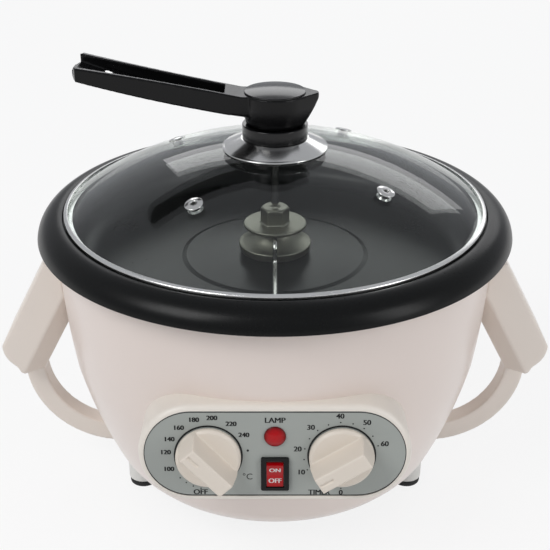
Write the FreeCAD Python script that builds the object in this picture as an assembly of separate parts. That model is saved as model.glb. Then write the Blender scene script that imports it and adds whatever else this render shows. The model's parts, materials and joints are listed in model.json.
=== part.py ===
"""Home coffee bean roaster: a stirred, electrically heated pan under a lift-off glass lid.

Millimetres. +X is to the right seen from the dials, +Y is to the back, +Z is up.
The model is drawn about the pan's axis, and moved at the end so that the origin is the
middle of the footprint, on the floor.
"""
import FreeCAD, Part
import math
import os

V = FreeCAD.Vector

# Driving sizes: most other sizes follow from these three
LID_R = 131.0         # the glass lid in its band, a standard 26 cm lid
PAN_FLOOR_Z = 158.0   # the pan's floor above the worktop
BASE_Z = 21.5         # the bowl's underside above the worktop

# Fits between pieces
TOUCH = 0.02          # a piece that is pressed or screwed into another
RUNNING = 0.05        # radial play of a shaft in its bore
CLEAR = 0.3           # between pieces that move past each other

# Drive under the pan
SHAFT_R = 4.0
SHAFT_FLAT = SHAFT_R - 1.0
BUSH_R = SHAFT_R + 2.9
BRACKET_Z = PAN_FLOOR_Z - 46.0
BRACKET_T = 2.0
BRACKET_HALF = 56.0
GEARBOX_R = 30.0
GEARBOX_H = 32.0
MOTOR_R = 25.0
MOTOR_H = 28.0

# Roasting pan
PAN_WALL = 1.6
PAN_WALL_R = LID_R - 4.0
PAN_FLOOR_R = PAN_WALL_R - 15.0
PAN_STEP_R = 59.0
PAN_STEP = 0.8
LEDGE_Z = PAN_FLOOR_Z + 32.1
LEDGE_R = LID_R + 0.8
CREST_R = LEDGE_R + 1.0
CREST_Z = LEDGE_Z + 2.5
RIM_R = CREST_R + 15.0
RIM_Z = CREST_Z - 12.6
COLLAR_R = BUSH_R + 2.1
COLLAR_TOP_Z = PAN_FLOOR_Z + 13.8

# Housing bowl: outside radii and heights of its arcs
BOWL_WALL = 2.5
BOWL_TOP = (RIM_R - 11.3, RIM_Z - 2.0)
BOWL_UPPER = (LID_R + 3.3, PAN_FLOOR_Z - 28.0)
BOWL_WAIST = (LID_R - 0.5, PAN_FLOOR_Z - 61.0)
BOWL_LOWER = (LID_R - 9.0, BASE_Z + 44.5)
BOWL_HEEL = (LID_R - 21.3, BASE_Z + 12.5)
BOWL_TURN = (LID_R - 24.5, BASE_Z + 7.0)
BOWL_FOOT = (LID_R - 28.6, BASE_Z + 2.5)
LIP_R = LID_R - 30.4
BASE_FLANGE_R = LIP_R - 18.6
SHOULDER_R = LID_R - 1.4

# Base plate, feet and inner posts
PLATE_T = 2.5
PLATE_R = LIP_R - 8.1
POST_CIRCLE_R = BASE_FLANGE_R - 16.0
SLOT_COUNT = 24
SLOT_IN_R = 24.0
SLOT_OUT_R = POST_CIRCLE_R - 12.0
SLOT_W = 3.0
FOOT_R = 10.0
PAD_R = FOOT_R - 0.6
PAD_T = 4.5
FRONT_FOOT = (LIP_R - 11.6, -28.0)
REAR_FOOT = (LIP_R - 38.6, LIP_R - 32.6)
POST_R = 5.0
SCREW_R = 1.7
SCREW_HEAD_R = 3.6

# Cord gland, low at the back
GLAND_Z = BASE_Z + 36.5
GLAND_Y = LID_R - 11.6
GLAND_BORE_R = 4.0
GLAND_BARREL_R = GLAND_BORE_R + 2.5
GLAND_FLANGE_R = GLAND_BARREL_R + 3.0
GLAND_LENGTH = 18.0
GLAND_TAIL = 6.0

# Heater
ELEMENT_R = 3.5
ELEMENT_RING_R = LID_R - 51.0
ELEMENT_GAP_DEG = 24.0
ELEMENT_BEND_R = 7.0
ELEMENT_LEG_Z = PAN_FLOOR_Z - 36.0
SHIELD_Z = PAN_FLOOR_Z - 20.0
SHIELD_T = 1.2
SHIELD_R = LID_R - 13.0
SHIELD_LIP = 12.0
CLAMP_W = 12.0
BULB_R = 3.0
BULB_LENGTH = 60.0
BULB_Y = -40.0

# Control pod on the front, leaning back
POD_W = 151.0
POD_H = 60.0
POD_DEPTH = 62.0
POD_WALL = 3.4
POD_EDGE = 3.2
POD_FACE_Y = -LID_R - 11.0
POD_MIDDLE_Z = PAN_FLOOR_Z - 55.7
POD_LEAN_DEG = 5.0
DIAL_PLATE_W = POD_W - 6.0
DIAL_PLATE_H = POD_H - 7.0
DIAL_PLATE_T = 1.2
DIAL_PLATE_SET = 0.2
DIAL_PLATE_GAP = 0.4
DIAL_X = 36.7
DIAL_Y = -1.0

# Dial knobs
KNOB_R = 18.0
KNOB_LIFT = 0.8
KNOB_DISC_T = 4.6
KNOB_H = 19.4
GRIP_FOOT = (13.5, 35.0)
GRIP_FACE = (9.6, 30.5)
GRIP_EDGE = 1.0
POINTER = (1.5, 8.0, 0.8)
SPINDLE_R = 3.0
SPINDLE_FLAT = 0.8
SPINDLE_TAIL = 15.0
NECK_R = SPINDLE_R + 1.7
THERMOSTAT_POINTS_DEG = 180.0 - 47.0
TIMER_POINTS_DEG = 180.0 + 32.0

# Lamp and rocker switch
LAMP_Y = 11.3
LAMP_R = 6.0
LAMP_DOME = 2.6
LAMP_BODY_R = LAMP_R - 1.5
SWITCH_Y = -12.0
BEZEL_W = 15.5
BEZEL_H = 20.5
BEZEL_T = 1.8
SWITCH_BODY_W = BEZEL_W - 2.5
SWITCH_BODY_H = BEZEL_H - 2.3
SWITCH_BODY_D = 20.0
ROCKER_W = BEZEL_W - 6.2
ROCKER_HALF = 7.5
ROCKER_HOLE_HALF = ROCKER_HALF + 0.8
ROCKER_TILT_DEG = 8.0
ROCKER_PIVOT = -2.0
ROCKER_PIN_R = 1.0

# Side handles
EAR_TILT_DEG = 62.0
EAR_TOP = (-LID_R - 15.0, PAN_FLOOR_Z + 1.0)
EAR_HALF_W = 20.0
EAR_ARM_HALF_W = 7.0
EAR_EDGE_T = 21.0
EAR_MIDDLE_T = 32.0
EAR_LENGTH = 84.0
EAR_ARC_X = EAR_TOP[0] + 41.0
EAR_ARC_Z = EAR_TOP[1] - 80.0
EAR_ARC_OUT = 62.0
EAR_ARC_IN = EAR_ARC_OUT - 13.0

# Stirrer
HUB_TOP_Z = PAN_FLOOR_Z + 32.0
HUB_HEX_AF = 16.0
HUB_DISC_R = 19.9
HUB_DISC_Z = HUB_TOP_Z - 10.6
HUB_NECK_R = 12.5
HUB_SKIRT_R = 23.1
HUB_BOTTOM_Z = PAN_FLOOR_Z + 3.2
HUB_HOLLOW_R = COLLAR_R + 2.0
HUB_HOLLOW_Z = PAN_FLOOR_Z + 15.2
DIMPLE_R = 3.6
DIMPLE_DEPTH = 1.2
ARM_WIRE_R = 1.5
ARM_Z = PAN_FLOOR_Z + 17.2
ARM_FLOOR_GAP = 2.4
ARM_DROP_R = 26.6
ARM_REACH = PAN_FLOOR_R - 6.0
ARM_BEND = 4.0

# Lid
LID_Z = LEDGE_Z + CLEAR
GLASS_T = 3.2
GLASS_R = LID_R - 1.1
DOME_R = 234.6
GLASS_EDGE_H = 2.3539096
DOME_TOP_Z = LID_Z + GLASS_EDGE_H + DOME_R - math.sqrt(DOME_R ** 2 - GLASS_R ** 2)
BAND_T = 0.8
VENT_CIRCLE_R = LID_R - 52.0
VENT_FIRST_DEG = -35.5
VENT_COUNT = 4
VENT_R = 5.5
VENT_BORE_R = 1.75
VENT_BARREL_R = VENT_R - 2.1
FLANGE_R = 32.4
FLANGE_TOP_R = 21.0
FLANGE_TOP_Z = DOME_TOP_Z + 4.4
KNOB_NECK_R = 20.0
HEAD_Z = FLANGE_TOP_Z + 8.6
HEAD_TOP_Z = HEAD_Z + 19.5
HEAD_R = 19.6
NOSE_X = 26.5
NOSE_R = 4.0
CAP_R = HEAD_R - 1.0
CAP_RISE = 2.4
STUD_R = 5.5
STUD_SOCKET_R = STUD_R - 1.3
STUD_TOP_Z = HEAD_Z + 7.0
GLASS_HOLE_R = STUD_R + 0.5
UNDER_NUT_R = 14.0

# Lid handle's arm
ARM_ROOT_X = -12.0
ARM_END_X = -116.0
ARM_NOSE = 4.0
ARM_NECK_HALF_W = 11.5
ARM_NECK_X = -54.0
ARM_END_HALF_W = 18.0
ARM_TOP = ((-20.0, HEAD_TOP_Z), (-120.0, HEAD_TOP_Z + 20.0))
ARM_UNDER = ((-10.0, HEAD_TOP_Z - 14.0), (-54.0, HEAD_TOP_Z - 5.9), (-120.0, HEAD_TOP_Z + 12.3))
ARM_SIDE_T = 3.0
ARM_FLOOR_T = 3.0
SLOT_FROM_X = -30.0
SLOT_END_X = -128.0
INSERT_FROM_X = -37.0
INSERT_TO_X = -103.0
INSERT_T = 2.0
INSERT_SEAT = 0.1
INSERT_SCREWS_X = (-44.0, -99.0)

# Press rod
ROD_R = 2.5
ROD_TIP_Z = HUB_TOP_Z + CLEAR
ROD_COLLAR_R = STUD_SOCKET_R - CLEAR
ROD_COLLAR_T = 2.0
ROD_STOP_Z = DOME_TOP_Z - 0.4
ROD_TAIL_R = 1.9
SPRING_WIRE_R = 0.45
SPRING_R = STUD_SOCKET_R - 1.1
SPRING_TURNS = 7


def corners(points, to_vector):
    """Edges from point to point; a pair of points in the list is an arc's middle and end."""
    edges = []
    here = points[0]
    for step in points[1:] + [points[0]]:
        if isinstance(step[0], tuple):
            middle, there = step
            arc = Part.Arc(to_vector(here), to_vector(middle), to_vector(there))
            edges.append(arc.toShape())
        else:
            there = step
            if there != here:
                edges.append(Part.makeLine(to_vector(here), to_vector(there)))
        here = there
    return edges


def face_of(points, to_vector):
    return Part.Face(Part.Wire(corners(points, to_vector)))


def turned(points):
    """A solid of revolution about Z from (radius, height) points."""
    profile = face_of(points, lambda p: V(p[0], 0, p[1]))
    return profile.revolve(V(0, 0, 0), V(0, 0, 1), 360)


def side_plate(points, half_width):
    """An (x, z) outline, as deep as half_width to the front and to the back."""
    profile = face_of(points, lambda p: V(p[0], -half_width, p[1]))
    return profile.extrude(V(0, 2 * half_width, 0))


def flat_plate(points, low, high):
    """An (x, y) outline between two heights."""
    profile = face_of(points, lambda p: V(p[0], p[1], low))
    return profile.extrude(V(0, 0, high - low))


def rod(radius, low, high, x=0.0, y=0.0):
    return Part.makeCylinder(radius, high - low, V(x, y, low))


def block(width, depth, low, high, x=0.0, y=0.0):
    return Part.makeBox(width, depth, high - low, V(x - width / 2, y - depth / 2, low))


def stadium(width, height, low, high):
    """A bar with round ends, along X, between two heights."""
    end = height / 2
    straight = width / 2 - end
    outline = [
        (-straight, -end),
        (straight, -end),
        ((straight + end, 0.0), (straight, end)),
        (-straight, end),
        ((-straight - end, 0.0), (-straight, -end)),
    ]
    return flat_plate(outline, low, high)


def hexagon(across_flats, low, high):
    corner = across_flats / math.sqrt(3)
    outline = []
    for turn in range(6):
        angle = math.radians(60 * turn)
        outline.append((corner * math.cos(angle), corner * math.sin(angle)))
    return flat_plate(outline, low, high)


def d_shaft(radius, flat, low, high):
    """A round shaft with one flat, at this distance from its axis."""
    shaft = rod(radius, low, high)
    return shaft.cut(Part.makeBox(radius, 2 * radius, high - low, V(flat, -radius, low)))


def around(shape, angle):
    turned_shape = shape.copy()
    turned_shape.rotate(V(0, 0, 0), V(0, 0, 1), angle)
    return turned_shape


def placed(shape, x, y):
    moved = shape.copy()
    moved.translate(V(x, y, 0))
    return moved


def on_panel(shape, x=0.0, y=0.0):
    """Take a shape drawn flat, facing up, to the leaning face of the control pod."""
    moved = placed(shape, x, y)
    panel = FreeCAD.Placement(
        V(0, POD_FACE_Y, POD_MIDDLE_Z),
        FreeCAD.Rotation(V(1, 0, 0), 90 - POD_LEAN_DEG),
    )
    moved.Placement = panel.multiply(moved.Placement)
    return moved


def swept(path_edges, wire_r, start, direction):
    """A round wire along a path that starts at this point."""
    profile = Part.Wire(Part.makeCircle(wire_r, start, direction))
    return Part.Wire(path_edges).makePipeShell([profile], True, False)


def dome_middle(radius, low, high):
    """The middle of the arc that rises from this radius to the axis, as on a ball."""
    rise = high - low
    ball = (radius ** 2 + rise ** 2) / (2 * rise)
    half = radius / 2
    return (half, high - ball + math.sqrt(ball ** 2 - half ** 2))


def group(shapes):
    return Part.makeCompound(shapes)


def feet_places():
    places = []
    for x, y in (FRONT_FOOT, REAR_FOOT):
        places.append((-x, y))
        places.append((x, y))
    return places


def post_places():
    places = []
    for turn in range(4):
        angle = math.radians(45 + 90 * turn)
        places.append((POST_CIRCLE_R * math.cos(angle), POST_CIRCLE_R * math.sin(angle)))
    return places


# Housing


def bowl_outside(inset):
    """The bowl's outline on one side, from its top down, drawn in by this much."""
    def drawn_in(point):
        return (point[0] - inset, point[1])
    return [
        drawn_in(BOWL_TOP),
        (drawn_in(BOWL_UPPER), drawn_in(BOWL_WAIST)),
        (drawn_in(BOWL_LOWER), drawn_in(BOWL_HEEL)),
        (drawn_in(BOWL_TURN), drawn_in(BOWL_FOOT)),
    ]


def bowl_solid():
    """The bowl as if it were full, to trim what stands against its outside."""
    return turned([
        (0.0, LEDGE_Z - PAN_WALL),
        (SHOULDER_R + BOWL_WALL, LEDGE_Z - PAN_WALL),
        *bowl_outside(0.0),
        (LIP_R + 1.0, BASE_Z + 1.4),
        (LIP_R - 1.6, BASE_Z),
        (0.0, BASE_Z),
    ])


def bowl_hollow():
    return turned([
        (0.0, LEDGE_Z),
        (SHOULDER_R, LEDGE_Z),
        (SHOULDER_R, LEDGE_Z - PAN_WALL - BOWL_WALL),
        *bowl_outside(BOWL_WALL),
        (BASE_FLANGE_R, BASE_Z + BOWL_WALL),
        (BASE_FLANGE_R, BASE_Z - 1.0),
        (0.0, BASE_Z - 1.0),
    ])


def pod_window():
    """The opening behind the pod, through the bowl's wall."""
    window = stadium(POD_W - 2 * POD_WALL, POD_H - 2 * POD_WALL, -POD_DEPTH, -POD_WALL)
    return on_panel(window)


def along_back(shape):
    """Take a shape drawn about Z to the cord hole, with its top facing back."""
    moved = shape.copy()
    moved.rotate(V(0, 0, 0), V(1, 0, 0), -90)
    moved.translate(V(0, GLAND_Y, GLAND_Z))
    return moved


def housing():
    shell = bowl_solid().cut(bowl_hollow())
    shell = shell.cut(pod_window())
    hole = along_back(rod(GLAND_BARREL_R + TOUCH, -GLAND_LENGTH, GLAND_LENGTH))
    return shell.cut(hole)


def cord_gland():
    back = GLAND_LENGTH - GLAND_TAIL
    flange = turned([
        (GLAND_BORE_R, -GLAND_TAIL),
        (GLAND_FLANGE_R, -GLAND_TAIL),
        (GLAND_FLANGE_R, 5.0),
        ((GLAND_FLANGE_R - 0.8, 6.6), (GLAND_FLANGE_R - 2.6, 7.2)),
        (GLAND_BORE_R + 1.6, back),
        (GLAND_BORE_R, back),
    ])
    barrel = rod(GLAND_BARREL_R, -GLAND_TAIL, 4.0).cut(rod(GLAND_BORE_R, -GLAND_TAIL - 1.0, 5.0))
    return along_back(flange).cut(bowl_solid()).fuse(along_back(barrel)).removeSplitter()


# Control pod


def control_pod():
    pod = stadium(POD_W, POD_H, -POD_DEPTH, 0.0)
    front_edges = [e for e in pod.Edges if e.BoundBox.ZMin > -0.01]
    pod = pod.makeFillet(POD_EDGE, front_edges)
    recess_w = DIAL_PLATE_W + 2 * DIAL_PLATE_GAP
    recess_h = DIAL_PLATE_H + 2 * DIAL_PLATE_GAP
    recess_z = -DIAL_PLATE_SET - DIAL_PLATE_T
    pod = pod.cut(stadium(recess_w, recess_h, recess_z, 1.0))
    pod = pod.cut(stadium(POD_W - 2 * POD_WALL, POD_H - 2 * POD_WALL, -POD_DEPTH, -POD_WALL))
    pod = pod.cut(panel_holes())
    return on_panel(pod).cut(bowl_solid())


def panel_holes():
    """The holes that the dial necks, the lamp and the switch pass through."""
    depth = POD_WALL + 1.0
    holes = [
        rod(NECK_R + CLEAR / 2, -depth, 1.0, -DIAL_X, DIAL_Y),
        rod(NECK_R + CLEAR / 2, -depth, 1.0, DIAL_X, DIAL_Y),
        rod(LAMP_BODY_R + CLEAR / 2, -depth, 1.0, 0.0, LAMP_Y),
        block(SWITCH_BODY_W + CLEAR, SWITCH_BODY_H + CLEAR, -depth, 1.0, 0.0, SWITCH_Y),
    ]
    return holes[0].fuse(holes[1:])


def dial_plate():
    plate = stadium(
        DIAL_PLATE_W, DIAL_PLATE_H, -DIAL_PLATE_SET - DIAL_PLATE_T, -DIAL_PLATE_SET
    )
    return on_panel(plate.cut(panel_holes()))


def control_body(width, height, depth, x):
    """A thermostat or timer behind the panel, with its neck through it."""
    case = block(width, height, -POD_WALL - depth, -POD_WALL)
    vertical = [e for e in case.Edges if e.BoundBox.ZLength > depth / 2]
    case = case.makeFillet(2.0, vertical)
    case = case.fuse(rod(NECK_R, -POD_WALL, 0.2))
    case = case.cut(rod(SPINDLE_R + RUNNING, -SPINDLE_TAIL - 1.0, 1.0))
    for side in (-1, 1):
        tab = block(6.3, 0.8, -POD_WALL - depth - 7.0, -POD_WALL - depth, side * width / 4)
        case = case.fuse(tab)
    return on_panel(case, x, DIAL_Y)


def thermostat_body():
    return control_body(34.0, 32.0, 22.0, -DIAL_X)


def timer_body():
    return control_body(40.0, 38.0, 26.0, DIAL_X)


def dial_knob(pointer_deg, x):
    """A round skirt with a tapering bar across it, and a pointer line at one end."""
    disc = turned([
        (0.0, KNOB_LIFT),
        (KNOB_R, KNOB_LIFT),
        (KNOB_R, KNOB_DISC_T - 1.4),
        (KNOB_R - 1.4, KNOB_DISC_T),
        (0.0, KNOB_DISC_T),
    ])
    grip = tapered_bar()
    knob = disc.fuse(grip).removeSplitter()
    width, length, depth = POINTER
    line = Part.makeBox(
        length, width, depth + 1.0,
        V(GRIP_FACE[1] / 2 - length - 1.0, -width / 2, KNOB_H - depth),
    )
    knob = knob.cut(line)
    flat = SPINDLE_R - SPINDLE_FLAT + TOUCH
    knob = knob.cut(d_shaft(SPINDLE_R + TOUCH, flat, 0.0, KNOB_H - 4.0))
    return on_panel(around(knob, pointer_deg), x, DIAL_Y)


def tapered_bar():
    wide, long = GRIP_FOOT
    face_w, face_l = GRIP_FACE

    def ring(length, width, height):
        half_l = length / 2
        half_w = width / 2
        points = [(-half_l, -half_w), (half_l, -half_w), (half_l, half_w), (-half_l, half_w)]
        return Part.Wire(corners(points, lambda p: V(p[0], p[1], height)))

    bar = Part.makeLoft([ring(long, wide, KNOB_DISC_T - 1.0), ring(face_l, face_w, KNOB_H)], True, True)
    bar = bar.common(rod(KNOB_R - 0.1, 0.0, KNOB_H + 1.0))
    top_edges = [e for e in bar.Edges if e.BoundBox.ZMin > KNOB_H - 0.01]
    return bar.makeFillet(GRIP_EDGE, top_edges)


def spindle(pointer_deg, x):
    flat_from = KNOB_LIFT - 0.2
    shaft = d_shaft(SPINDLE_R, SPINDLE_R - SPINDLE_FLAT, flat_from, KNOB_H - 4.2)
    shaft = shaft.fuse(rod(SPINDLE_R, -SPINDLE_TAIL, flat_from))
    return on_panel(around(shaft, pointer_deg), x, DIAL_Y)


def lamp_lens():
    lens = turned([
        (0.0, 0.9),
        (0.0, LAMP_DOME),
        (dome_middle(LAMP_R - 0.3, 0.9, LAMP_DOME), (LAMP_R - 0.3, 0.9)),
        (LAMP_R, 0.5),
        (LAMP_R, -DIAL_PLATE_SET),
        (LAMP_BODY_R - 1.0, -DIAL_PLATE_SET),
        (LAMP_BODY_R - 1.0, 0.9),
    ])
    return on_panel(lens, 0.0, LAMP_Y)


def lamp_holder():
    tube = turned([
        (LAMP_BODY_R - 1.2, -DIAL_PLATE_SET - 0.2),
        (LAMP_BODY_R, -DIAL_PLATE_SET - 0.2),
        (LAMP_BODY_R, -POD_WALL),
        (LAMP_BODY_R + 1.6, -POD_WALL - TOUCH),
        (LAMP_BODY_R + 1.6, -POD_WALL - 2.4),
        (LAMP_BODY_R, -POD_WALL - 2.4),
        (LAMP_BODY_R, -18.0),
        (0.0, -18.0),
        (0.0, -16.0),
        (LAMP_BODY_R - 1.2, -16.0),
    ])
    return on_panel(tube, 0.0, LAMP_Y)


def switch_housing():
    face = -DIAL_PLATE_SET
    bezel = block(BEZEL_W, BEZEL_H, face, face + BEZEL_T)
    corner_edges = [e for e in bezel.Edges if e.BoundBox.ZLength > BEZEL_T / 2]
    bezel = bezel.makeFillet(1.0, corner_edges)
    body = block(SWITCH_BODY_W, SWITCH_BODY_H, -SWITCH_BODY_D, face)
    case = bezel.fuse(body)
    case = case.cut(block(ROCKER_W + 2 * CLEAR, 2 * ROCKER_HOLE_HALF, -9.5, face + BEZEL_T + 1.0))
    pin_hole = Part.makeCylinder(
        ROCKER_PIN_R + RUNNING, ROCKER_W + 3.0, V(-ROCKER_W / 2 - 1.5, 0, ROCKER_PIVOT), V(1, 0, 0)
    )
    case = case.cut(pin_hole)
    for offset in (-6.0, 6.0):
        case = case.fuse(block(4.8, 0.8, -SWITCH_BODY_D - 7.0, -SWITCH_BODY_D, 0.0, offset))
    return on_panel(case, 0.0, SWITCH_Y)


def switch_rocker():
    rise = ROCKER_HALF * math.tan(math.radians(ROCKER_TILT_DEG))
    middle = 1.2
    outline = [
        (0.0, middle),
        (ROCKER_HALF, middle + rise),
        (ROCKER_HALF - 0.3, -2.5),
        (4.0, -6.0),
        (-4.0, -6.0),
        (-ROCKER_HALF + 0.3, -2.5),
        (-ROCKER_HALF, middle + rise),
    ]
    profile = face_of(outline, lambda p: V(-ROCKER_W / 2, p[0], p[1]))
    rocker = profile.extrude(V(ROCKER_W, 0, 0))
    pin = Part.makeCylinder(
        ROCKER_PIN_R, ROCKER_W + 2.2, V(-ROCKER_W / 2 - 1.1, 0, ROCKER_PIVOT), V(1, 0, 0)
    )
    rocker = rocker.fuse(pin).removeSplitter()
    rocker.rotate(V(0, 0, ROCKER_PIVOT), V(1, 0, 0), ROCKER_TILT_DEG)
    return on_panel(rocker, 0.0, SWITCH_Y)


# Roasting pan


def roasting_pan():
    floor = PAN_FLOOR_Z
    under = floor - PAN_WALL
    corner = PAN_WALL_R - PAN_FLOOR_R
    bend = corner * (1 - math.sqrt(0.5))
    wall_out = PAN_WALL_R + PAN_WALL
    return turned([
        (BUSH_R + TOUCH, under),
        (BUSH_R + TOUCH, COLLAR_TOP_Z),
        (COLLAR_R, COLLAR_TOP_Z),
        (COLLAR_R, floor + 3.0),
        ((COLLAR_R + 1.0, floor + 2.0), (COLLAR_R + 3.0, floor + 1.6)),
        (PAN_STEP_R - 2.0, floor + PAN_STEP),
        (PAN_STEP_R, floor),
        (PAN_FLOOR_R, floor),
        ((PAN_WALL_R - bend, floor + bend), (PAN_WALL_R, floor + corner)),
        (PAN_WALL_R, LEDGE_Z),
        (LEDGE_R, LEDGE_Z),
        (LEDGE_R, CREST_Z - 0.8),
        ((LEDGE_R + 0.3, CREST_Z - 0.1), (CREST_R, CREST_Z)),
        ((RIM_R - 4.4, CREST_Z - 4.0), (RIM_R, RIM_Z)),
        (RIM_R - PAN_WALL, RIM_Z),
        ((RIM_R - 4.4 - PAN_WALL * 0.7, CREST_Z - 4.0 - PAN_WALL * 0.9),
         (CREST_R + 1.0, CREST_Z - PAN_WALL - 2.3)),
        (CREST_R - 1.0, LEDGE_Z - PAN_WALL),
        (wall_out, LEDGE_Z - PAN_WALL),
        (wall_out, floor + corner),
        ((wall_out - bend, floor + bend - PAN_WALL), (PAN_FLOOR_R, under)),
    ])


def shaft_bush():
    return turned([
        (SHAFT_R + RUNNING, PAN_FLOOR_Z - PAN_WALL - 6.0),
        (BUSH_R, PAN_FLOOR_Z - PAN_WALL - 6.0),
        (BUSH_R, COLLAR_TOP_Z),
        (SHAFT_R + RUNNING, COLLAR_TOP_Z),
    ])


# Heater and drive


def heating_element():
    """A tubular ring with a gap at the back, where both ends turn down."""
    z = PAN_FLOOR_Z - PAN_WALL - CLEAR - ELEMENT_R
    first = math.radians(90 + ELEMENT_GAP_DEG / 2)
    last = math.radians(90 - ELEMENT_GAP_DEG / 2 + 360)
    bend = V(0, 0, ELEMENT_BEND_R)
    diagonal = math.sqrt(0.5) * ELEMENT_BEND_R

    def on_ring(angle):
        return V(ELEMENT_RING_R * math.cos(angle), ELEMENT_RING_R * math.sin(angle), z)

    def tangent(angle):
        return V(-math.sin(angle), math.cos(angle), 0)

    start = on_ring(first)
    end = on_ring(last)
    into = tangent(first)
    out = tangent(last)
    leg_in = start - bend - into * ELEMENT_BEND_R
    leg_out = end - bend + out * ELEMENT_BEND_R
    foot_in = V(leg_in.x, leg_in.y, ELEMENT_LEG_Z)
    foot_out = V(leg_out.x, leg_out.y, ELEMENT_LEG_Z)
    bend_in = start - bend + V(0, 0, diagonal) - into * diagonal
    bend_out = end - bend + V(0, 0, diagonal) + out * diagonal
    path = [
        Part.makeLine(foot_in, leg_in),
        Part.Arc(leg_in, bend_in, start).toShape(),
        Part.Arc(start, on_ring((first + last) / 2), end).toShape(),
        Part.Arc(end, bend_out, leg_out).toShape(),
        Part.makeLine(leg_out, foot_out),
    ]
    return swept(path, ELEMENT_R, foot_in, V(0, 0, 1))


def element_clamps():
    """Three saddles that carry the ring on the shield."""
    ring_z = PAN_FLOOR_Z - PAN_WALL - CLEAR - ELEMENT_R
    base_z = SHIELD_Z + SHIELD_T
    saddle = block(CLAMP_W, CLAMP_W, base_z, ring_z, ELEMENT_RING_R)
    ring = Part.makeTorus(ELEMENT_RING_R, ELEMENT_R + TOUCH, V(0, 0, ring_z))
    saddle = saddle.cut(ring)
    return group([around(saddle, angle) for angle in (-30, 90 + 60, 270 - 60)])


def heat_shield():
    top = SHIELD_Z + SHIELD_T
    shield = turned([
        (12.0, SHIELD_Z),
        (SHIELD_R, SHIELD_Z),
        ((SHIELD_R + 2.8, SHIELD_Z + 1.2), (SHIELD_R + 4.0, SHIELD_Z + 4.0)),
        (SHIELD_R + 4.0, SHIELD_Z + SHIELD_LIP),
        (SHIELD_R + 4.0 - SHIELD_T, SHIELD_Z + SHIELD_LIP),
        (SHIELD_R + 4.0 - SHIELD_T, SHIELD_Z + 4.0),
        ((SHIELD_R + 2.0, SHIELD_Z + 2.0), (SHIELD_R, top)),
        (12.0, top),
    ])
    for leg in element_legs():
        shield = shield.cut(rod(ELEMENT_R + 2.0, SHIELD_Z - 1, top + 1, leg[0], leg[1]))
    return shield


def element_legs():
    legs = []
    for side in (-1, 1):
        angle = math.radians(90 + side * ELEMENT_GAP_DEG / 2)
        x = ELEMENT_RING_R * math.cos(angle) + ELEMENT_BEND_R * math.sin(angle) * side
        y = ELEMENT_RING_R * math.sin(angle) - ELEMENT_BEND_R * math.cos(angle) * side
        legs.append((x, y))
    return legs


def sensor_bulb():
    z = PAN_FLOOR_Z - PAN_WALL - CLEAR - BULB_R
    tube = Part.makeCylinder(BULB_R, BULB_LENGTH, V(-BULB_LENGTH / 2, BULB_Y, z), V(1, 0, 0))
    return tube.makeFillet(1.2, tube.Edges)


def sensor_clip():
    z = PAN_FLOOR_Z - PAN_WALL - CLEAR - BULB_R
    clips = []
    for x in (-BULB_LENGTH / 4, BULB_LENGTH / 4):
        post = block(6.0, 2 * BULB_R + 3.0, SHIELD_Z + SHIELD_T, z, x, BULB_Y)
        hole = Part.makeCylinder(BULB_R + TOUCH, 20.0, V(x - 10.0, BULB_Y, z), V(1, 0, 0))
        clips.append(post.cut(hole))
    return group(clips)


def motor_bracket():
    half = BRACKET_HALF
    plate = block(2 * half, 2 * half, BRACKET_Z, BRACKET_Z + BRACKET_T)
    upright = [e for e in plate.Edges if e.BoundBox.ZLength > BRACKET_T / 2]
    plate = plate.makeFillet(10.0, upright)
    plate = plate.cut(rod(SHAFT_R + 2.0, BRACKET_Z - 1, BRACKET_Z + BRACKET_T + 1))
    for turn in range(4):
        slot = stadium(40.0, 14.0, BRACKET_Z - 1, BRACKET_Z + BRACKET_T + 1)
        plate = plate.cut(around(placed(slot, 0.0, half - 14.0), 90 * turn))
    return plate


def gearbox_case():
    low = BRACKET_Z - GEARBOX_H
    case = rod(GEARBOX_R, low, BRACKET_Z)
    case = case.makeFillet(1.5, [e for e in case.Edges if e.BoundBox.ZMax < low + 0.1])
    return case.cut(rod(SHAFT_R + RUNNING, low + 6.0, BRACKET_Z + 1.0))


def motor_can():
    high = BRACKET_Z - GEARBOX_H
    can = rod(MOTOR_R, high - MOTOR_H, high)
    can = can.makeFillet(2.0, [e for e in can.Edges if e.BoundBox.ZMax < high - MOTOR_H + 0.1])
    return can.fuse(rod(8.0, high - MOTOR_H - 3.0, high - MOTOR_H)).removeSplitter()


def lower_posts():
    post = rod(POST_R, BASE_Z, BRACKET_Z).cut(rod(SCREW_R + TOUCH, BASE_Z - 1, BASE_Z + 12.0))
    return group([placed(post, x, y) for x, y in post_places()])


def upper_posts():
    post = rod(POST_R - 1.0, BRACKET_Z + BRACKET_T, SHIELD_Z)
    return group([placed(post, x, y) for x, y in post_places()])


def terminal_block():
    case = block(36.0, 16.0, BASE_Z, BASE_Z + 13.0, 0.0, POST_CIRCLE_R)
    for x in (-12.0, 0.0, 12.0):
        case = case.cut(rod(3.0, BASE_Z + 8.0, BASE_Z + 14.0, x, POST_CIRCLE_R))
    return case


# Base


def base_plate():
    low = BASE_Z - PLATE_T
    plate = rod(PLATE_R, low, BASE_Z)
    length = SLOT_OUT_R - SLOT_IN_R
    slot = placed(stadium(length, SLOT_W, low - 1, BASE_Z + 1), SLOT_IN_R + length / 2, 0.0)
    slots = [around(slot, 360.0 / SLOT_COUNT * turn) for turn in range(SLOT_COUNT)]
    holes = [rod(FOOT_R + CLEAR, low - 1, BASE_Z + 1, x, y) for x, y in feet_places()]
    screws = [rod(SCREW_R + TOUCH, low - 1, BASE_Z + 1, x, y) for x, y in post_places()]
    return plate.cut(slots + holes + screws)


def feet():
    foot = rod(FOOT_R, PAD_T, BASE_Z - TOUCH)
    return group([placed(foot, x, y) for x, y in feet_places()])


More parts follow.
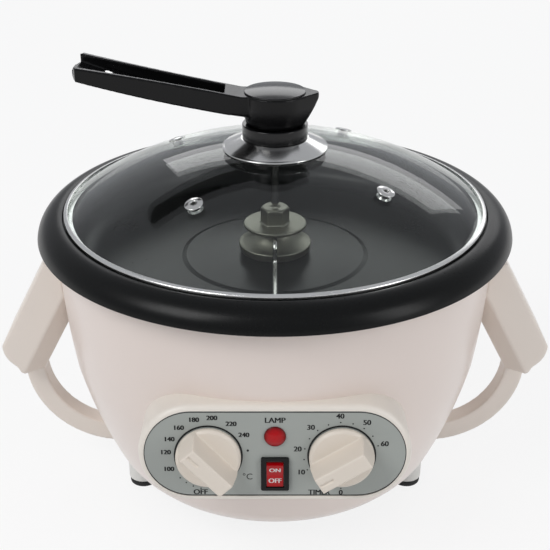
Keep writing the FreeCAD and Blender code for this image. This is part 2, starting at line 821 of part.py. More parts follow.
def foot_pads():
    pad = rod(PAD_R, 0.0, PAD_T)
    pad = pad.makeFillet(1.0, [e for e in pad.Edges if e.BoundBox.ZMax < 0.1])
    return group([placed(pad, x, y) for x, y in feet_places()])


def base_screws():
    low = BASE_Z - PLATE_T
    screw = rod(SCREW_R, low, BASE_Z + 9.0).fuse(rod(SCREW_HEAD_R, low - 2.2, low))
    slot = block(2 * SCREW_HEAD_R, 0.9, low - 3.0, low - 1.3)
    screw = screw.cut(slot)
    return group([placed(screw, x, y) for x, y in post_places()])


# Side handles


def side_handle():
    """The left handle: a broad upper grip and a narrow arm that curls back to the bowl."""
    tilt = math.radians(EAR_TILT_DEG)
    down = V(-math.cos(tilt), 0, -math.sin(tilt))
    inward = V(math.sin(tilt), 0, -math.cos(tilt))
    top = V(EAR_TOP[0], 0, EAR_TOP[1])
    back_off = 24.0
    section = [
        (0.0, -EAR_HALF_W),
        (EAR_EDGE_T, -EAR_HALF_W),
        (EAR_MIDDLE_T, -EAR_ARM_HALF_W),
        (EAR_MIDDLE_T, EAR_ARM_HALF_W),
        (EAR_EDGE_T, EAR_HALF_W),
        (0.0, EAR_HALF_W),
    ]
    profile = face_of(section, lambda p: top - down * back_off + inward * p[0] + V(0, p[1], 0))
    bar = profile.extrude(down * (EAR_LENGTH + back_off))
    bar = bar.common(ear_outline())
    arm = side_plate([
        (EAR_ARC_X - EAR_ARC_OUT, EAR_ARC_Z + 6.0),
        (EAR_ARC_X - EAR_ARC_OUT, EAR_ARC_Z),
        (on_arc(EAR_ARC_OUT, 225), on_arc(EAR_ARC_OUT, 272)),
        on_arc(EAR_ARC_IN, 272),
        (on_arc(EAR_ARC_IN, 225), on_arc(EAR_ARC_IN, 180)),
        (EAR_ARC_X - EAR_ARC_IN, EAR_ARC_Z + 6.0),
    ], EAR_ARM_HALF_W)
    return bar.fuse(arm).cut(bowl_solid()).removeSplitter()


def on_arc(radius, degrees):
    angle = math.radians(degrees)
    return (EAR_ARC_X + radius * math.cos(angle), EAR_ARC_Z + radius * math.sin(angle))


def ear_outline():
    """What the grip fills seen from the front, with its rounded outer corner."""
    top_x, top_z = EAR_TOP
    return side_plate([
        (top_x + 26.0, top_z),
        EAR_TOP,
        (top_x - 31.6, top_z - 58.0),
        ((top_x - 30.4, top_z - 67.0), (top_x - 23.6, top_z - 75.0)),
        (EAR_ARC_X - EAR_ARC_OUT, EAR_ARC_Z),
        (EAR_ARC_X - EAR_ARC_IN, EAR_ARC_Z - 4.0),
        (top_x + 26.0, EAR_ARC_Z - 4.0),
    ], EAR_HALF_W + 1.0)


def handle_left():
    return side_handle()


def handle_right():
    return side_handle().mirror(V(0, 0, 0), V(1, 0, 0))


# Stirrer


def drive_shaft():
    low = BRACKET_Z - GEARBOX_H + 6.5
    plain = rod(SHAFT_R, low, HUB_HOLLOW_Z)
    return plain.fuse(d_shaft(SHAFT_R, SHAFT_FLAT, HUB_HOLLOW_Z, HUB_TOP_Z - 5.0)).removeSplitter()


def stirrer_hub():
    body = turned([
        (0.0, HUB_HOLLOW_Z),
        (0.0, HUB_DISC_Z),
        (HUB_DISC_R, HUB_DISC_Z),
        (HUB_DISC_R, HUB_DISC_Z - 2.0),
        (HUB_NECK_R, HUB_DISC_Z - 2.0),
        (HUB_NECK_R, HUB_HOLLOW_Z + 0.2),
        ((HUB_NECK_R + 3.4, HUB_HOLLOW_Z - 3.6), (HUB_SKIRT_R, HUB_BOTTOM_Z + 5.0)),
        (HUB_SKIRT_R - 0.9, HUB_BOTTOM_Z),
        (HUB_SKIRT_R - 3.4, HUB_BOTTOM_Z),
        ((HUB_HOLLOW_R + 3.4, HUB_BOTTOM_Z + 4.2), (HUB_HOLLOW_R, HUB_HOLLOW_Z - 3.0)),
        (HUB_HOLLOW_R, HUB_HOLLOW_Z),
    ])
    boss = hexagon(HUB_HEX_AF, HUB_DISC_Z, HUB_TOP_Z)
    corner = HUB_HEX_AF / math.sqrt(3)
    chamfer = turned([
        (0.0, HUB_DISC_Z - 1),
        (corner, HUB_DISC_Z - 1),
        (corner, HUB_TOP_Z - 1.0),
        (corner - 1.6, HUB_TOP_Z),
        (0.0, HUB_TOP_Z),
    ])
    hub = body.fuse(boss.common(chamfer)).removeSplitter()
    dimple = Part.makeCone(DIMPLE_R * 0.55, DIMPLE_R, DIMPLE_DEPTH, V(0, 0, HUB_TOP_Z - DIMPLE_DEPTH))
    hub = hub.cut(dimple)
    hub = hub.cut(d_shaft(SHAFT_R + TOUCH, SHAFT_FLAT + TOUCH, HUB_HOLLOW_Z - 1, HUB_TOP_Z - 4.8))
    for side in (-1, 1):
        hole = Part.makeCylinder(ARM_WIRE_R + TOUCH, 30.0, V(0, 7.0 * side, ARM_Z), V(0, side, 0))
        hub = hub.cut(hole)
    return hub


def stirrer_arms():
    """Two bent wires, from the hub's neck down to the pan's floor and along it."""
    low = PAN_FLOOR_Z + PAN_STEP + ARM_FLOOR_GAP + ARM_WIRE_R
    bend = ARM_BEND
    short = bend * math.sqrt(0.5)

    def at(r, z):
        return V(0, -r, z)

    upper_middle = at(ARM_DROP_R - bend + short, ARM_Z - bend + short)
    lower_middle = at(ARM_DROP_R + bend - short, low + bend - short)
    path = [
        Part.makeLine(at(7.0, ARM_Z), at(ARM_DROP_R - bend, ARM_Z)),
        Part.Arc(at(ARM_DROP_R - bend, ARM_Z), upper_middle, at(ARM_DROP_R, ARM_Z - bend)).toShape(),
        Part.makeLine(at(ARM_DROP_R, ARM_Z - bend), at(ARM_DROP_R, low + bend)),
        Part.Arc(at(ARM_DROP_R, low + bend), lower_middle, at(ARM_DROP_R + bend, low)).toShape(),
        Part.makeLine(at(ARM_DROP_R + bend, low), at(ARM_REACH, low)),
    ]
    arm = swept(path, ARM_WIRE_R, at(7.0, ARM_Z), V(0, -1, 0))
    return group([arm, around(arm, 180)])


# Lid


def dome_height(radius, sphere=DOME_R):
    centre_z = DOME_TOP_Z - DOME_R
    return centre_z + math.sqrt(sphere ** 2 - radius ** 2)


def lid_glass():
    inner = DOME_R - GLASS_T
    foot = LID_Z + BAND_T
    foot_r = math.sqrt(inner ** 2 - (foot - DOME_TOP_Z + DOME_R) ** 2)
    middle = GLASS_R / 2
    glass = turned([
        (GLASS_HOLE_R, dome_height(GLASS_HOLE_R)),
        ((middle, dome_height(middle)), (GLASS_R, dome_height(GLASS_R))),
        (GLASS_R, foot),
        (foot_r, foot),
        ((middle, dome_height(middle, inner)), (GLASS_HOLE_R, dome_height(GLASS_HOLE_R, inner))),
    ])
    for hole in at_vents(rod(VENT_BARREL_R + TOUCH, -2 * GLASS_T, GLASS_T)):
        glass = glass.cut(hole)
    return glass


def at_vents(shape):
    """Copies of a shape on the glass, square to it, at each steam vent."""
    lean = math.degrees(math.asin(VENT_CIRCLE_R / DOME_R))
    copies = []
    for turn in range(VENT_COUNT):
        vent = shape.copy()
        vent.rotate(V(0, 0, 0), V(0, 1, 0), lean)
        vent.translate(V(VENT_CIRCLE_R, 0, dome_height(VENT_CIRCLE_R)))
        copies.append(around(vent, VENT_FIRST_DEG + 90 * turn))
    return copies


def steam_vents():
    seat = 0.07
    eyelet = turned([
        (VENT_BORE_R, -GLASS_T - 0.9),
        (VENT_BORE_R, 0.6),
        ((VENT_BORE_R + 0.9, 1.2), (VENT_BORE_R + 2.0, 1.1)),
        ((VENT_R - 0.5, 0.8), (VENT_R, seat)),
        (VENT_BARREL_R, seat),
        (VENT_BARREL_R, -GLASS_T - seat),
        (VENT_BARREL_R + 1.2, -GLASS_T - seat),
        (VENT_BARREL_R + 1.0, -GLASS_T - 0.9),
    ])
    return group(at_vents(eyelet))


def lid_band():
    top = dome_height(GLASS_R) + 0.15
    inner = LID_R - 3.5
    lip = dome_height(inner) + 0.15
    return turned([
        (LID_R, LID_Z),
        (LID_R, top + 0.2),
        ((LID_R - 0.5, top + 1.2), (LID_R - 1.5, top + 1.6)),
        (inner, lip + BAND_T),
        (inner, lip),
        (GLASS_R + TOUCH, top),
        (GLASS_R + TOUCH, LID_Z + BAND_T - TOUCH),
        (GLASS_R - 4.0, LID_Z + BAND_T - TOUCH),
        (GLASS_R - 4.0, LID_Z),
    ])


def knob_flange():
    seat = dome_height(FLANGE_R) + 0.1
    return turned([
        (STUD_R + TOUCH, FLANGE_TOP_Z),
        (FLANGE_TOP_R - 1.2, FLANGE_TOP_Z),
        ((FLANGE_TOP_R - 0.3, FLANGE_TOP_Z - 0.1), (FLANGE_TOP_R + 0.5, FLANGE_TOP_Z - 0.6)),
        (FLANGE_R - 1.4, seat + 1.3),
        ((FLANGE_R - 0.3, seat + 1.1), (FLANGE_R, seat + 0.3)),
        (FLANGE_R - 0.4, seat),
        (FLANGE_R - 2.0, seat + 0.3),
        (FLANGE_TOP_R - 0.6, FLANGE_TOP_Z - 1.5),
        (STUD_R + TOUCH, FLANGE_TOP_Z - 1.5),
    ])


def lid_gasket():
    low = dome_height(GLASS_HOLE_R) + TOUCH
    return turned([
        (STUD_R + TOUCH, low),
        (16.0, low),
        (16.0, FLANGE_TOP_Z - 1.5 - TOUCH),
        (STUD_R + TOUCH, FLANGE_TOP_Z - 1.5 - TOUCH),
    ])


def lid_knob():
    return turned([
        (STUD_R + TOUCH, FLANGE_TOP_Z + TOUCH),
        (KNOB_NECK_R - 0.8, FLANGE_TOP_Z + TOUCH),
        (KNOB_NECK_R, FLANGE_TOP_Z + 0.9),
        (KNOB_NECK_R, HEAD_Z - 0.5),
        (KNOB_NECK_R - 0.5, HEAD_Z),
        (STUD_R + TOUCH, HEAD_Z),
    ])


def head_shape():
    """The head over the knob: round, with a beak that grows towards its top."""
    head = rod(HEAD_R, HEAD_Z + TOUCH, HEAD_TOP_Z)
    reach = NOSE_X - NOSE_R
    angle = math.acos((HEAD_R - NOSE_R) / reach)
    cos = math.cos(angle)
    sin = math.sin(angle)
    beak = flat_plate([
        (HEAD_R * cos, -HEAD_R * sin),
        (reach + NOSE_R * cos, -NOSE_R * sin),
        ((NOSE_X, 0.0), (reach + NOSE_R * cos, NOSE_R * sin)),
        (HEAD_R * cos, HEAD_R * sin),
    ], HEAD_Z + TOUCH, HEAD_TOP_Z)
    under = side_plate([
        (HEAD_R - 1.0, HEAD_Z - 1.0),
        (NOSE_X + 0.5, HEAD_TOP_Z - 2.0),
        (NOSE_X + 10.0, HEAD_TOP_Z - 2.0),
        (NOSE_X + 10.0, HEAD_Z - 1.0),
    ], HEAD_R + 1.0)
    return head.fuse(beak.cut(under)).removeSplitter()


def arm_plan(inset, end_x):
    """The arm from above: a narrow neck that flares to a rounded end."""
    neck = ARM_NECK_HALF_W - inset
    wide = ARM_END_HALF_W - inset
    nose = end_x - ARM_NOSE
    return [
        (ARM_ROOT_X, -neck),
        (ARM_NECK_X + 18.0, -neck),
        ((ARM_NECK_X - 16.0, -neck - 1.6), (end_x, -wide)),
        ((nose, 0.0), (end_x, wide)),
        ((ARM_NECK_X - 16.0, neck + 1.6), (ARM_NECK_X + 18.0, neck)),
        (ARM_ROOT_X, neck),
    ]


def arm_side(floor):
    """The arm from the side, between a floor this far above its underside and its top."""
    start, middle, end = ARM_UNDER

    def raised(point):
        return (point[0], point[1] + floor)

    return [
        raised(start),
        (raised(middle), raised(end)),
        ARM_TOP[1],
        ARM_TOP[0],
        (ARM_UNDER[0][0], ARM_TOP[0][1]),
    ]


def under_height(x):
    """Height of the arm's underside, on the arc through its three points."""
    (x1, z1), (x2, z2), (x3, z3) = ARM_UNDER
    first = z1 * (x - x2) * (x - x3) / ((x1 - x2) * (x1 - x3))
    second = z2 * (x - x1) * (x - x3) / ((x2 - x1) * (x2 - x3))
    third = z3 * (x - x1) * (x - x2) / ((x3 - x1) * (x3 - x2))
    return first + second + third


def above_floor(thickness, half_width):
    """All that lies in the trough, above a floor of this thickness."""
    far_x = ARM_UNDER[2][0] - 5.0
    top_z = ARM_TOP[1][1] + 10.0

    def on_floor(x):
        return (x, under_height(x) + thickness)

    return side_plate([
        on_floor(SLOT_FROM_X),
        (on_floor(ARM_NECK_X), on_floor(far_x)),
        (far_x, top_z),
        (SLOT_FROM_X, top_z),
    ], half_width)


def lid_handle():
    half = ARM_END_HALF_W + 2.0
    arm = side_plate(arm_side(0.0), half)
    arm = arm.common(flat_plate(arm_plan(0.0, ARM_END_X), HEAD_Z, ARM_TOP[1][1] + 1.0))
    trough = above_floor(ARM_FLOOR_T, half).common(
        flat_plate(arm_plan(ARM_SIDE_T, SLOT_END_X), HEAD_Z, ARM_TOP[1][1] + 12.0)
    )
    handle = arm.cut(trough).fuse(head_shape()).removeSplitter()
    handle = handle.cut(rod(STUD_R + TOUCH, HEAD_Z - 1.0, STUD_TOP_Z + 6.0))
    for x in INSERT_SCREWS_X:
        handle = handle.cut(insert_screw(x, TOUCH))
    return handle


def handle_insert():
    """The strip that lies in the trough, held by two screws."""
    seat = ARM_FLOOR_T + INSERT_SEAT
    low = above_floor(seat, ARM_END_HALF_W)
    high = above_floor(seat + INSERT_T, ARM_END_HALF_W + 1.0)
    length = INSERT_FROM_X - INSERT_TO_X
    reach = Part.makeBox(length, 60.0, 60.0, V(INSERT_TO_X, -30.0, HEAD_Z))
    strip = low.cut(high).common(reach)
    strip = strip.common(
        flat_plate(arm_plan(ARM_SIDE_T + 0.5, SLOT_END_X), HEAD_Z, ARM_TOP[1][1] + 1.0)
    )
    for x in INSERT_SCREWS_X:
        strip = strip.cut(insert_screw(x, TOUCH))
    return strip


def insert_screw(x, play):
    """A screw in the trough's strip, square to the arm, larger all round by the play."""
    slope = math.degrees(math.atan2(under_height(x - 1) - under_height(x + 1), 2.0))
    screw = rod(1.2 + play, -4.0, 0.0).fuse(rod(2.3 + play, -play, 1.1))
    screw.rotate(V(0, 0, 0), V(0, 1, 0), slope)
    screw.translate(V(x, 0, under_height(x) + ARM_FLOOR_T + INSERT_SEAT + INSERT_T + 0.1))
    return screw


def insert_screws():
    return group([insert_screw(x, 0.0) for x in INSERT_SCREWS_X])


def handle_cap():
    return turned([
        (0.0, HEAD_TOP_Z + TOUCH),
        (CAP_R, HEAD_TOP_Z + TOUCH),
        (CAP_R, HEAD_TOP_Z + 0.5),
        (dome_middle(CAP_R, HEAD_TOP_Z + 0.5, HEAD_TOP_Z + CAP_RISE),
         (0.0, HEAD_TOP_Z + CAP_RISE)),
    ])


def lid_stud():
    low = DOME_TOP_Z - GLASS_T - 10.0
    return turned([
        (ROD_R + RUNNING, low),
        (STUD_R, low),
        (STUD_R, STUD_TOP_Z),
        (STUD_SOCKET_R, STUD_TOP_Z),
        (STUD_SOCKET_R, ROD_STOP_Z),
        (ROD_R + RUNNING, ROD_STOP_Z),
    ])


def under_nut():
    high = dome_height(GLASS_HOLE_R, DOME_R - GLASS_T) - 0.5
    nut = hexagon(19.0, high - 7.0, high - 1.5).fuse(rod(UNDER_NUT_R, high - 1.5, high))
    return nut.cut(rod(STUD_R + TOUCH, high - 8.0, high + 1.0)).removeSplitter()


def spring_plug():
    return rod(STUD_SOCKET_R - TOUCH, STUD_TOP_Z - 3.0, STUD_TOP_Z + 2.0)


def press_rod():
    tip = ROD_TIP_Z
    collar = ROD_STOP_Z + 0.1
    return turned([
        (0.0, tip),
        (1.0, tip),
        (ROD_R, tip + 2.4),
        (ROD_R, collar),
        (ROD_COLLAR_R, collar),
        (ROD_COLLAR_R, collar + ROD_COLLAR_T),
        (ROD_TAIL_R, collar + ROD_COLLAR_T),
        (ROD_TAIL_R, collar + ROD_COLLAR_T + 6.0),
        (0.0, collar + ROD_COLLAR_T + 6.0),
    ])


def rod_spring():
    low = ROD_STOP_Z + 0.1 + ROD_COLLAR_T + SPRING_WIRE_R + 0.05
    high = STUD_TOP_Z - 3.0 - SPRING_WIRE_R - 0.05
    pitch = (high - low) / SPRING_TURNS
    coil = Part.makeHelix(pitch, high - low, SPRING_R)
    profile = Part.Wire(Part.makeCircle(SPRING_WIRE_R, V(SPRING_R, 0, 0), V(0, 1, 0)))
    spring = Part.Wire(coil.Edges).makePipeShell([profile], True, True)
    spring.translate(V(0, 0, low))
    return spring


PIECES = {
    "housing": housing,
    "control_pod": control_pod,
    "dial_plate": dial_plate,
    "handle_left": handle_left,
    "handle_right": handle_right,
    "roasting_pan": roasting_pan,
    "shaft_bush": shaft_bush,
    "heating_element": heating_element,
    "element_clamps": element_clamps,
    "heat_shield": heat_shield,
    "sensor_bulb": sensor_bulb,
    "sensor_clips": sensor_clip,
    "motor_bracket": motor_bracket,
    "gearbox_case": gearbox_case,
    "motor_can": motor_can,
    "lower_posts": lower_posts,
    "upper_posts": upper_posts,
    "terminal_block": terminal_block,
    "base_plate": base_plate,
    "base_screws": base_screws,
    "feet": feet,
    "foot_pads": foot_pads,
    "cord_gland": cord_gland,
    "thermostat_body": thermostat_body,
    "timer_body": timer_body,
    "lamp_lens": lamp_lens,
    "lamp_holder": lamp_holder,
    "switch_housing": switch_housing,
    "switch_rocker": switch_rocker,
    "thermostat_knob": lambda: dial_knob(THERMOSTAT_POINTS_DEG, -DIAL_X),
    "thermostat_spindle": lambda: spindle(THERMOSTAT_POINTS_DEG, -DIAL_X),
    "timer_knob": lambda: dial_knob(TIMER_POINTS_DEG, DIAL_X),
    "timer_spindle": lambda: spindle(TIMER_POINTS_DEG, DIAL_X),
    "drive_shaft": drive_shaft,
    "stirrer_hub": stirrer_hub,
    "stirrer_arms": stirrer_arms,
    "lid_glass": lid_glass,
    "lid_band": lid_band,
    "steam_vents": steam_vents,
    "knob_flange": knob_flange,
    "lid_gasket": lid_gasket,
    "lid_knob": lid_knob,
    "lid_handle": lid_handle,
    "handle_cap": handle_cap,
    "handle_insert": handle_insert,
    "insert_screws": insert_screws,
    "lid_stud": lid_stud,
    "under_nut": under_nut,
    "spring_plug": spring_plug,
    "press_rod": press_rod,
    "rod_spring": rod_spring,
}


def main():
    os.makedirs("parts", exist_ok=True)
    shapes = {name: make() for name, make in PIECES.items()}
    boxes = [shape.optimalBoundingBox(False) for shape in shapes.values()]
    front = min(box.YMin for box in boxes)
    back = max(box.YMax for box in boxes)
    axis_y = -(front + back) / 2
    for name, shape in shapes.items():
        shape.translate(V(0, axis_y, 0))
        shape.exportStep("parts/" + name + ".step")
        good = all(solid.isValid() for solid in shape.Solids)
        print(name, len(shape.Solids), round(shape.Volume, 1), "valid" if good else "NOT VALID")
    print("pan axis at y =", round(axis_y, 4))


main()
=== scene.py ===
# %% [markdown]
# A home coffee bean roaster, dressed for its picture
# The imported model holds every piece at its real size. This lesson gives those pieces their
# finish: smooth moulded shells, enamel, glass, chrome and print. It works from the outside
# in, one piece to a cell, and each cell says how the real thing is made.

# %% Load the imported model
import json
import math

import bmesh
import bpy
from mathutils import Matrix, Vector


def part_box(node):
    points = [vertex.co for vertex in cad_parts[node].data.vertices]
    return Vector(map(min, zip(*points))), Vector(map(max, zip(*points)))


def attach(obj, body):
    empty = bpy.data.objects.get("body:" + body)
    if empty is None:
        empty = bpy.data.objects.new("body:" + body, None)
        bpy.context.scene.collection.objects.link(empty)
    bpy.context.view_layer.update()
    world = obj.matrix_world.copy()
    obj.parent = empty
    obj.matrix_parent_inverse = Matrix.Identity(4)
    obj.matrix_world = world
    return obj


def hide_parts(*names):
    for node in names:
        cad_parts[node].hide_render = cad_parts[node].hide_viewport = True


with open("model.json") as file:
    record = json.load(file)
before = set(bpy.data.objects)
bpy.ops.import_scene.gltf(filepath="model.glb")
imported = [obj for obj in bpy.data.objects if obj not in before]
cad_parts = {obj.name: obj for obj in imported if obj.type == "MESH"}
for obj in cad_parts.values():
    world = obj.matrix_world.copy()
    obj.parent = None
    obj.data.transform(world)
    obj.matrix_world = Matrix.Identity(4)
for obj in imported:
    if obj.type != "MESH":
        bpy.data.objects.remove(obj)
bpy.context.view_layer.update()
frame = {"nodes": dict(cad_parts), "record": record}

MM = 0.001
print("pieces in the packed model:", len(frame["nodes"]))

# %% [markdown]
# Where things are
# The pan, the bowl, the lid and the stirrer are all turned about one upright axis, so its
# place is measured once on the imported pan. The dials sit on a face that leans back by five
# degrees; a matrix takes anything drawn flat on that face to its place.

# %% Axis of the pan and the leaning panel
def middle(node):
    low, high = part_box(node)
    return (low + high) / 2


AXIS = Vector((0.0, middle("roasting_pan").y, 0.0))
LEAN = math.radians(5.0)
PANEL_FACE = Vector((0.0, AXIS.y - 142.0 * MM, 102.3 * MM))
PANEL = Matrix.Translation(PANEL_FACE) @ Matrix.Rotation(math.radians(90.0) - LEAN, 4, "X")
DIAL_U = 36.7  # the dials' middles on the leaning face, in millimetres
DIAL_V = -1.0
LAMP_V = 11.3
ROCKER_V = -12.0
print("pan axis at", tuple(round(v, 4) for v in AXIS))

# %% [markdown]
# Outlines
# Moulded and spun parts have no truly sharp corners. An outline is written as its corners,
# each with a radius, and a small function rounds them. Long curves are arcs through three
# points, as in the construction.

# %% Rounded outlines and arcs
def rounded(corners, closed=True, steps=6):
    """Points along an outline of (u, v) or (u, v, radius) corners, in millimetres."""
    count = len(corners)
    points = []
    for index, corner in enumerate(corners):
        here = Vector(corner[:2])
        radius = corner[2] if len(corner) > 2 else 0.0
        at_end = not closed and index in (0, count - 1)
        before = Vector(corners[index - 1][:2])
        after = Vector(corners[(index + 1) % count][:2])
        if radius == 0.0 or at_end:
            points.append(tuple(here))
            continue
        to_before = (before - here).normalized()
        to_after = (after - here).normalized()
        angle = to_before.angle(to_after)
        reach = radius / math.tan(angle / 2)
        reach = min(reach, (before - here).length * 0.49, (after - here).length * 0.49)
        radius = reach * math.tan(angle / 2)
        centre = here + (to_before + to_after).normalized() * (radius / math.sin(angle / 2))
        first = here + to_before * reach - centre
        last = here + to_after * reach - centre
        for step in range(steps + 1):
            mixed = first.lerp(last, step / steps)
            points.append(tuple(centre + mixed.normalized() * radius))
    return points


def arc(start, through, end, steps=12):
    """Points on the circle through three points, from the first to the last."""
    a = Vector(start)
    b = Vector(through)
    c = Vector(end)
    d = 2 * (a.x * (b.y - c.y) + b.x * (c.y - a.y) + c.x * (a.y - b.y))
    ux = a.dot(a) * (b.y - c.y) + b.dot(b) * (c.y - a.y) + c.dot(c) * (a.y - b.y)
    uy = a.dot(a) * (c.x - b.x) + b.dot(b) * (a.x - c.x) + c.dot(c) * (b.x - a.x)
    centre = Vector((ux / d, uy / d))
    turn = [math.atan2(p.y - centre.y, p.x - centre.x) for p in (a, b, c)]
    sweep = (turn[2] - turn[0]) % (2 * math.pi)
    if (turn[1] - turn[0]) % (2 * math.pi) > sweep:
        sweep -= 2 * math.pi
    radius = (a - centre).length
    points = []
    for step in range(steps + 1):
        angle = turn[0] + sweep * step / steps
        points.append(
            (centre.x + radius * math.cos(angle), centre.y + radius * math.sin(angle))
        )
    return points


# %% [markdown]
# Two ways to make a mesh
# A lathe turns an outline about the pan's axis. A prism pushes an outline through a
# thickness. Both leave a closed skin whose faces point outwards.

# %% Mesh makers
def finish_mesh(name, mesh, body, material, replaces=(), sharp_deg=35.0):
    """Put a mesh in the scene as one piece that moves with a body."""
    piece = bpy.data.objects.new(name, mesh)
    bpy.context.scene.collection.objects.link(piece)
    mesh.materials.clear()
    mesh.materials.append(material)
    mesh.shade_smooth()
    mesh.set_sharp_from_angle(angle=math.radians(sharp_deg))
    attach(piece, body)
    if replaces:
        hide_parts(*replaces)
    return piece


def mesh_from(name, vertices, faces, merge=0.00001):
    """A closed mesh whose faces point outwards."""
    mesh = bpy.data.meshes.new(name)
    mesh.from_pydata(vertices, [], faces)
    work = bmesh.new()
    work.from_mesh(mesh)
    bmesh.ops.remove_doubles(work, verts=work.verts, dist=merge)
    bmesh.ops.recalc_face_normals(work, faces=work.faces)
    work.to_mesh(mesh)
    work.free()
    return mesh


def lathe_mesh(name, outline, turns=160, centre=AXIS):
    """Turn a closed outline of (radius, height), in millimetres, about an upright axis."""
    vertices = []
    faces = []
    count = len(outline)
    for turn in range(turns):
        angle = 2 * math.pi * turn / turns
        for radius, height in outline:
            x = radius * MM * math.cos(angle)
            y = radius * MM * math.sin(angle)
            vertices.append((centre.x + x, centre.y + y, centre.z + height * MM))
    for turn in range(turns):
        here = turn * count
        there = (turn + 1) % turns * count
        for index in range(count):
            after = (index + 1) % count
            faces.append((here + index, there + index, there + after, here + after))
    return mesh_from(name, vertices, faces)


def prism_mesh(name, outline, low, high):
    """Push a (u, v) outline, in millimetres, from one height to another."""
    work = bmesh.new()
    ring = [work.verts.new((u * MM, v * MM, low * MM)) for u, v in outline]
    base = work.faces.new(ring)
    pushed = bmesh.ops.extrude_face_region(work, geom=[base])
    moved = [item for item in pushed["geom"] if isinstance(item, bmesh.types.BMVert)]
    bmesh.ops.translate(work, verts=moved, vec=(0, 0, (high - low) * MM))
    bmesh.ops.recalc_face_normals(work, faces=work.faces)
    mesh = bpy.data.meshes.new(name)
    work.to_mesh(mesh)
    work.free()
    return mesh


# %% [markdown]
# Shader maths
# Wrapping a socket in a small class lets a material be written as an expression, such as
# 1 - mask * 0.2, and each operator adds its own Math node.

# %% Paint and its values
def linear(red, green, blue):
    """A colour picked on a screen, 0 to 255, as the light it stands for."""
    def one(value):
        share = value / 255.0
        return share / 12.92 if share <= 0.04045 else ((share + 0.055) / 1.055) ** 2.4
    return (one(red), one(green), one(blue), 1.0)


class Value:
    """A number that varies over a surface."""

    def __init__(self, paint, socket):
        self.paint = paint
        self.socket = socket

    def maths(self, operation, first, second):
        return self.paint.node("ShaderNodeMath", {"operation": operation}, [first, second])

    def __add__(self, other):
        return self.maths("ADD", self, other)

    def __radd__(self, other):
        return self.maths("ADD", other, self)

    def __sub__(self, other):
        return self.maths("SUBTRACT", self, other)

    def __rsub__(self, other):
        return self.maths("SUBTRACT", other, self)

    def __mul__(self, other):
        return self.maths("MULTIPLY", self, other)

    def __rmul__(self, other):
        return self.maths("MULTIPLY", other, self)

    def __pow__(self, other):
        return self.maths("POWER", self, other)

    def over(self, edge):
        return self.maths("GREATER_THAN", self, edge)


class Paint:
    """A material, and the one way that its nodes are added."""

    def __init__(self, name):
        self.material = bpy.data.materials.new(name)
        self.material.use_nodes = True
        self.tree = self.material.node_tree
        self.tree.nodes.clear()
        self.place = self.node("ShaderNodeTexCoord", {}, {}, "Object")

    def node(self, kind, settings, inputs, output=0):
        added = self.tree.nodes.new(kind)
        for key, value in settings.items():
            setattr(added, key, value)
        pairs = inputs.items() if isinstance(inputs, dict) else enumerate(inputs)
        for key, value in pairs:
            if isinstance(value, Value):
                self.tree.links.new(value.socket, added.inputs[key])
            else:
                added.inputs[key].default_value = value
        return Value(self, added.outputs[output])

    def noise(self, scale, detail=2.0, stretch=(1.0, 1.0, 1.0)):
        place = self.node("ShaderNodeMapping", {}, {"Vector": self.place, "Scale": stretch})
        return self.node(
            "ShaderNodeTexNoise", {}, {"Vector": place, "Scale": scale, "Detail": detail}
        )

    def either(self, first, second):
        return self.node("ShaderNodeMath", {"operation": "MAXIMUM"}, [first, second])

    def flecks(self, scale, size):
        cell = self.node(
            "ShaderNodeTexVoronoi", {}, {"Vector": self.place, "Scale": scale}, "Distance"
        )
        return 1.0 - cell.over(size)

    def blend(self, factor, first, second):
        return self.node(
            "ShaderNodeMix", {"data_type": "RGBA"}, {0: factor, 6: first, 7: second}, 2
        )

    def bump(self, height, strength, distance):
        return self.node(
            "ShaderNodeBump", {}, {"Height": height, "Strength": strength, "Distance": distance}
        )

    def surface(self, inputs):
        shader = self.node("ShaderNodeBsdfPrincipled", {}, inputs)
        self.output(shader)
        return self.material

    def output(self, shader):
        result = self.tree.nodes.new("ShaderNodeOutputMaterial")
        self.tree.links.new(shader.socket, result.inputs["Surface"])


# %% [markdown]
# Moulded plastic
# The bowl, pod, handles and knobs are injection-moulded in close tones of cream. Under soft
# light such plastic shows a faint unevenness of colour, a slow change in gloss and a very
# fine grain, so three noises of different size drive colour, roughness and bump.

# %% Plastics
GRAIN_DEPTH = 0.0001


def plastic(name, colour, roughness, grain=0.05, coat=0.0, specular=0.5):
    paint = Paint(name)
    red, green, blue, _ = colour
    shade = (red * 0.93, green * 0.92, blue * 0.91, 1.0)
    cloud = paint.noise(9.0, 3.0)
    fine = paint.noise(1400.0, 1.0)
    return paint.surface({
        "Base Color": paint.blend(cloud * 0.5 + fine * 0.12, colour, shade),
        "Roughness": roughness + (cloud - 0.5) * 0.08 + (fine - 0.5) * 0.05,
        "Normal": paint.bump(fine, grain, GRAIN_DEPTH),
        "Coat Weight": coat,
        "Coat Roughness": 0.08,
        "Specular IOR Level": specular,
    })


BODY_CREAM = plastic("body_cream", linear(232, 219, 211), 0.30, coat=0.15)
POD_CREAM = plastic("pod_cream", linear(233, 226, 216), 0.36)
EAR_CREAM = plastic("ear_cream", linear(238, 228, 218), 0.36)
KNOB_CREAM = plastic("knob_cream", linear(226, 216, 203), 0.42)
FOOT_WHITE = plastic("foot_white", linear(230, 229, 224), 0.42)
BLACK_GLOSS = plastic("black_gloss", linear(8, 8, 9), 0.14, 0.01, 0.10, 0.3)
BLACK_SATIN = plastic("black_satin", linear(10, 10, 11), 0.24, 0.04, 0.05, 0.2)
CASE_DARK = plastic("case_dark", linear(52, 52, 54), 0.50)
PAD_RUBBER = plastic("pad_rubber", linear(20, 20, 21), 0.75, grain=0.30)
GASKET = plastic("gasket_grey", linear(96, 96, 94), 0.60)

# %% [markdown]
# Metal
# Spun, drawn, cast and plated metals differ mostly in gloss. The rim band is rolled, so its
# gloss runs in fine lines along it; the hub is a dull casting with a pitted skin.

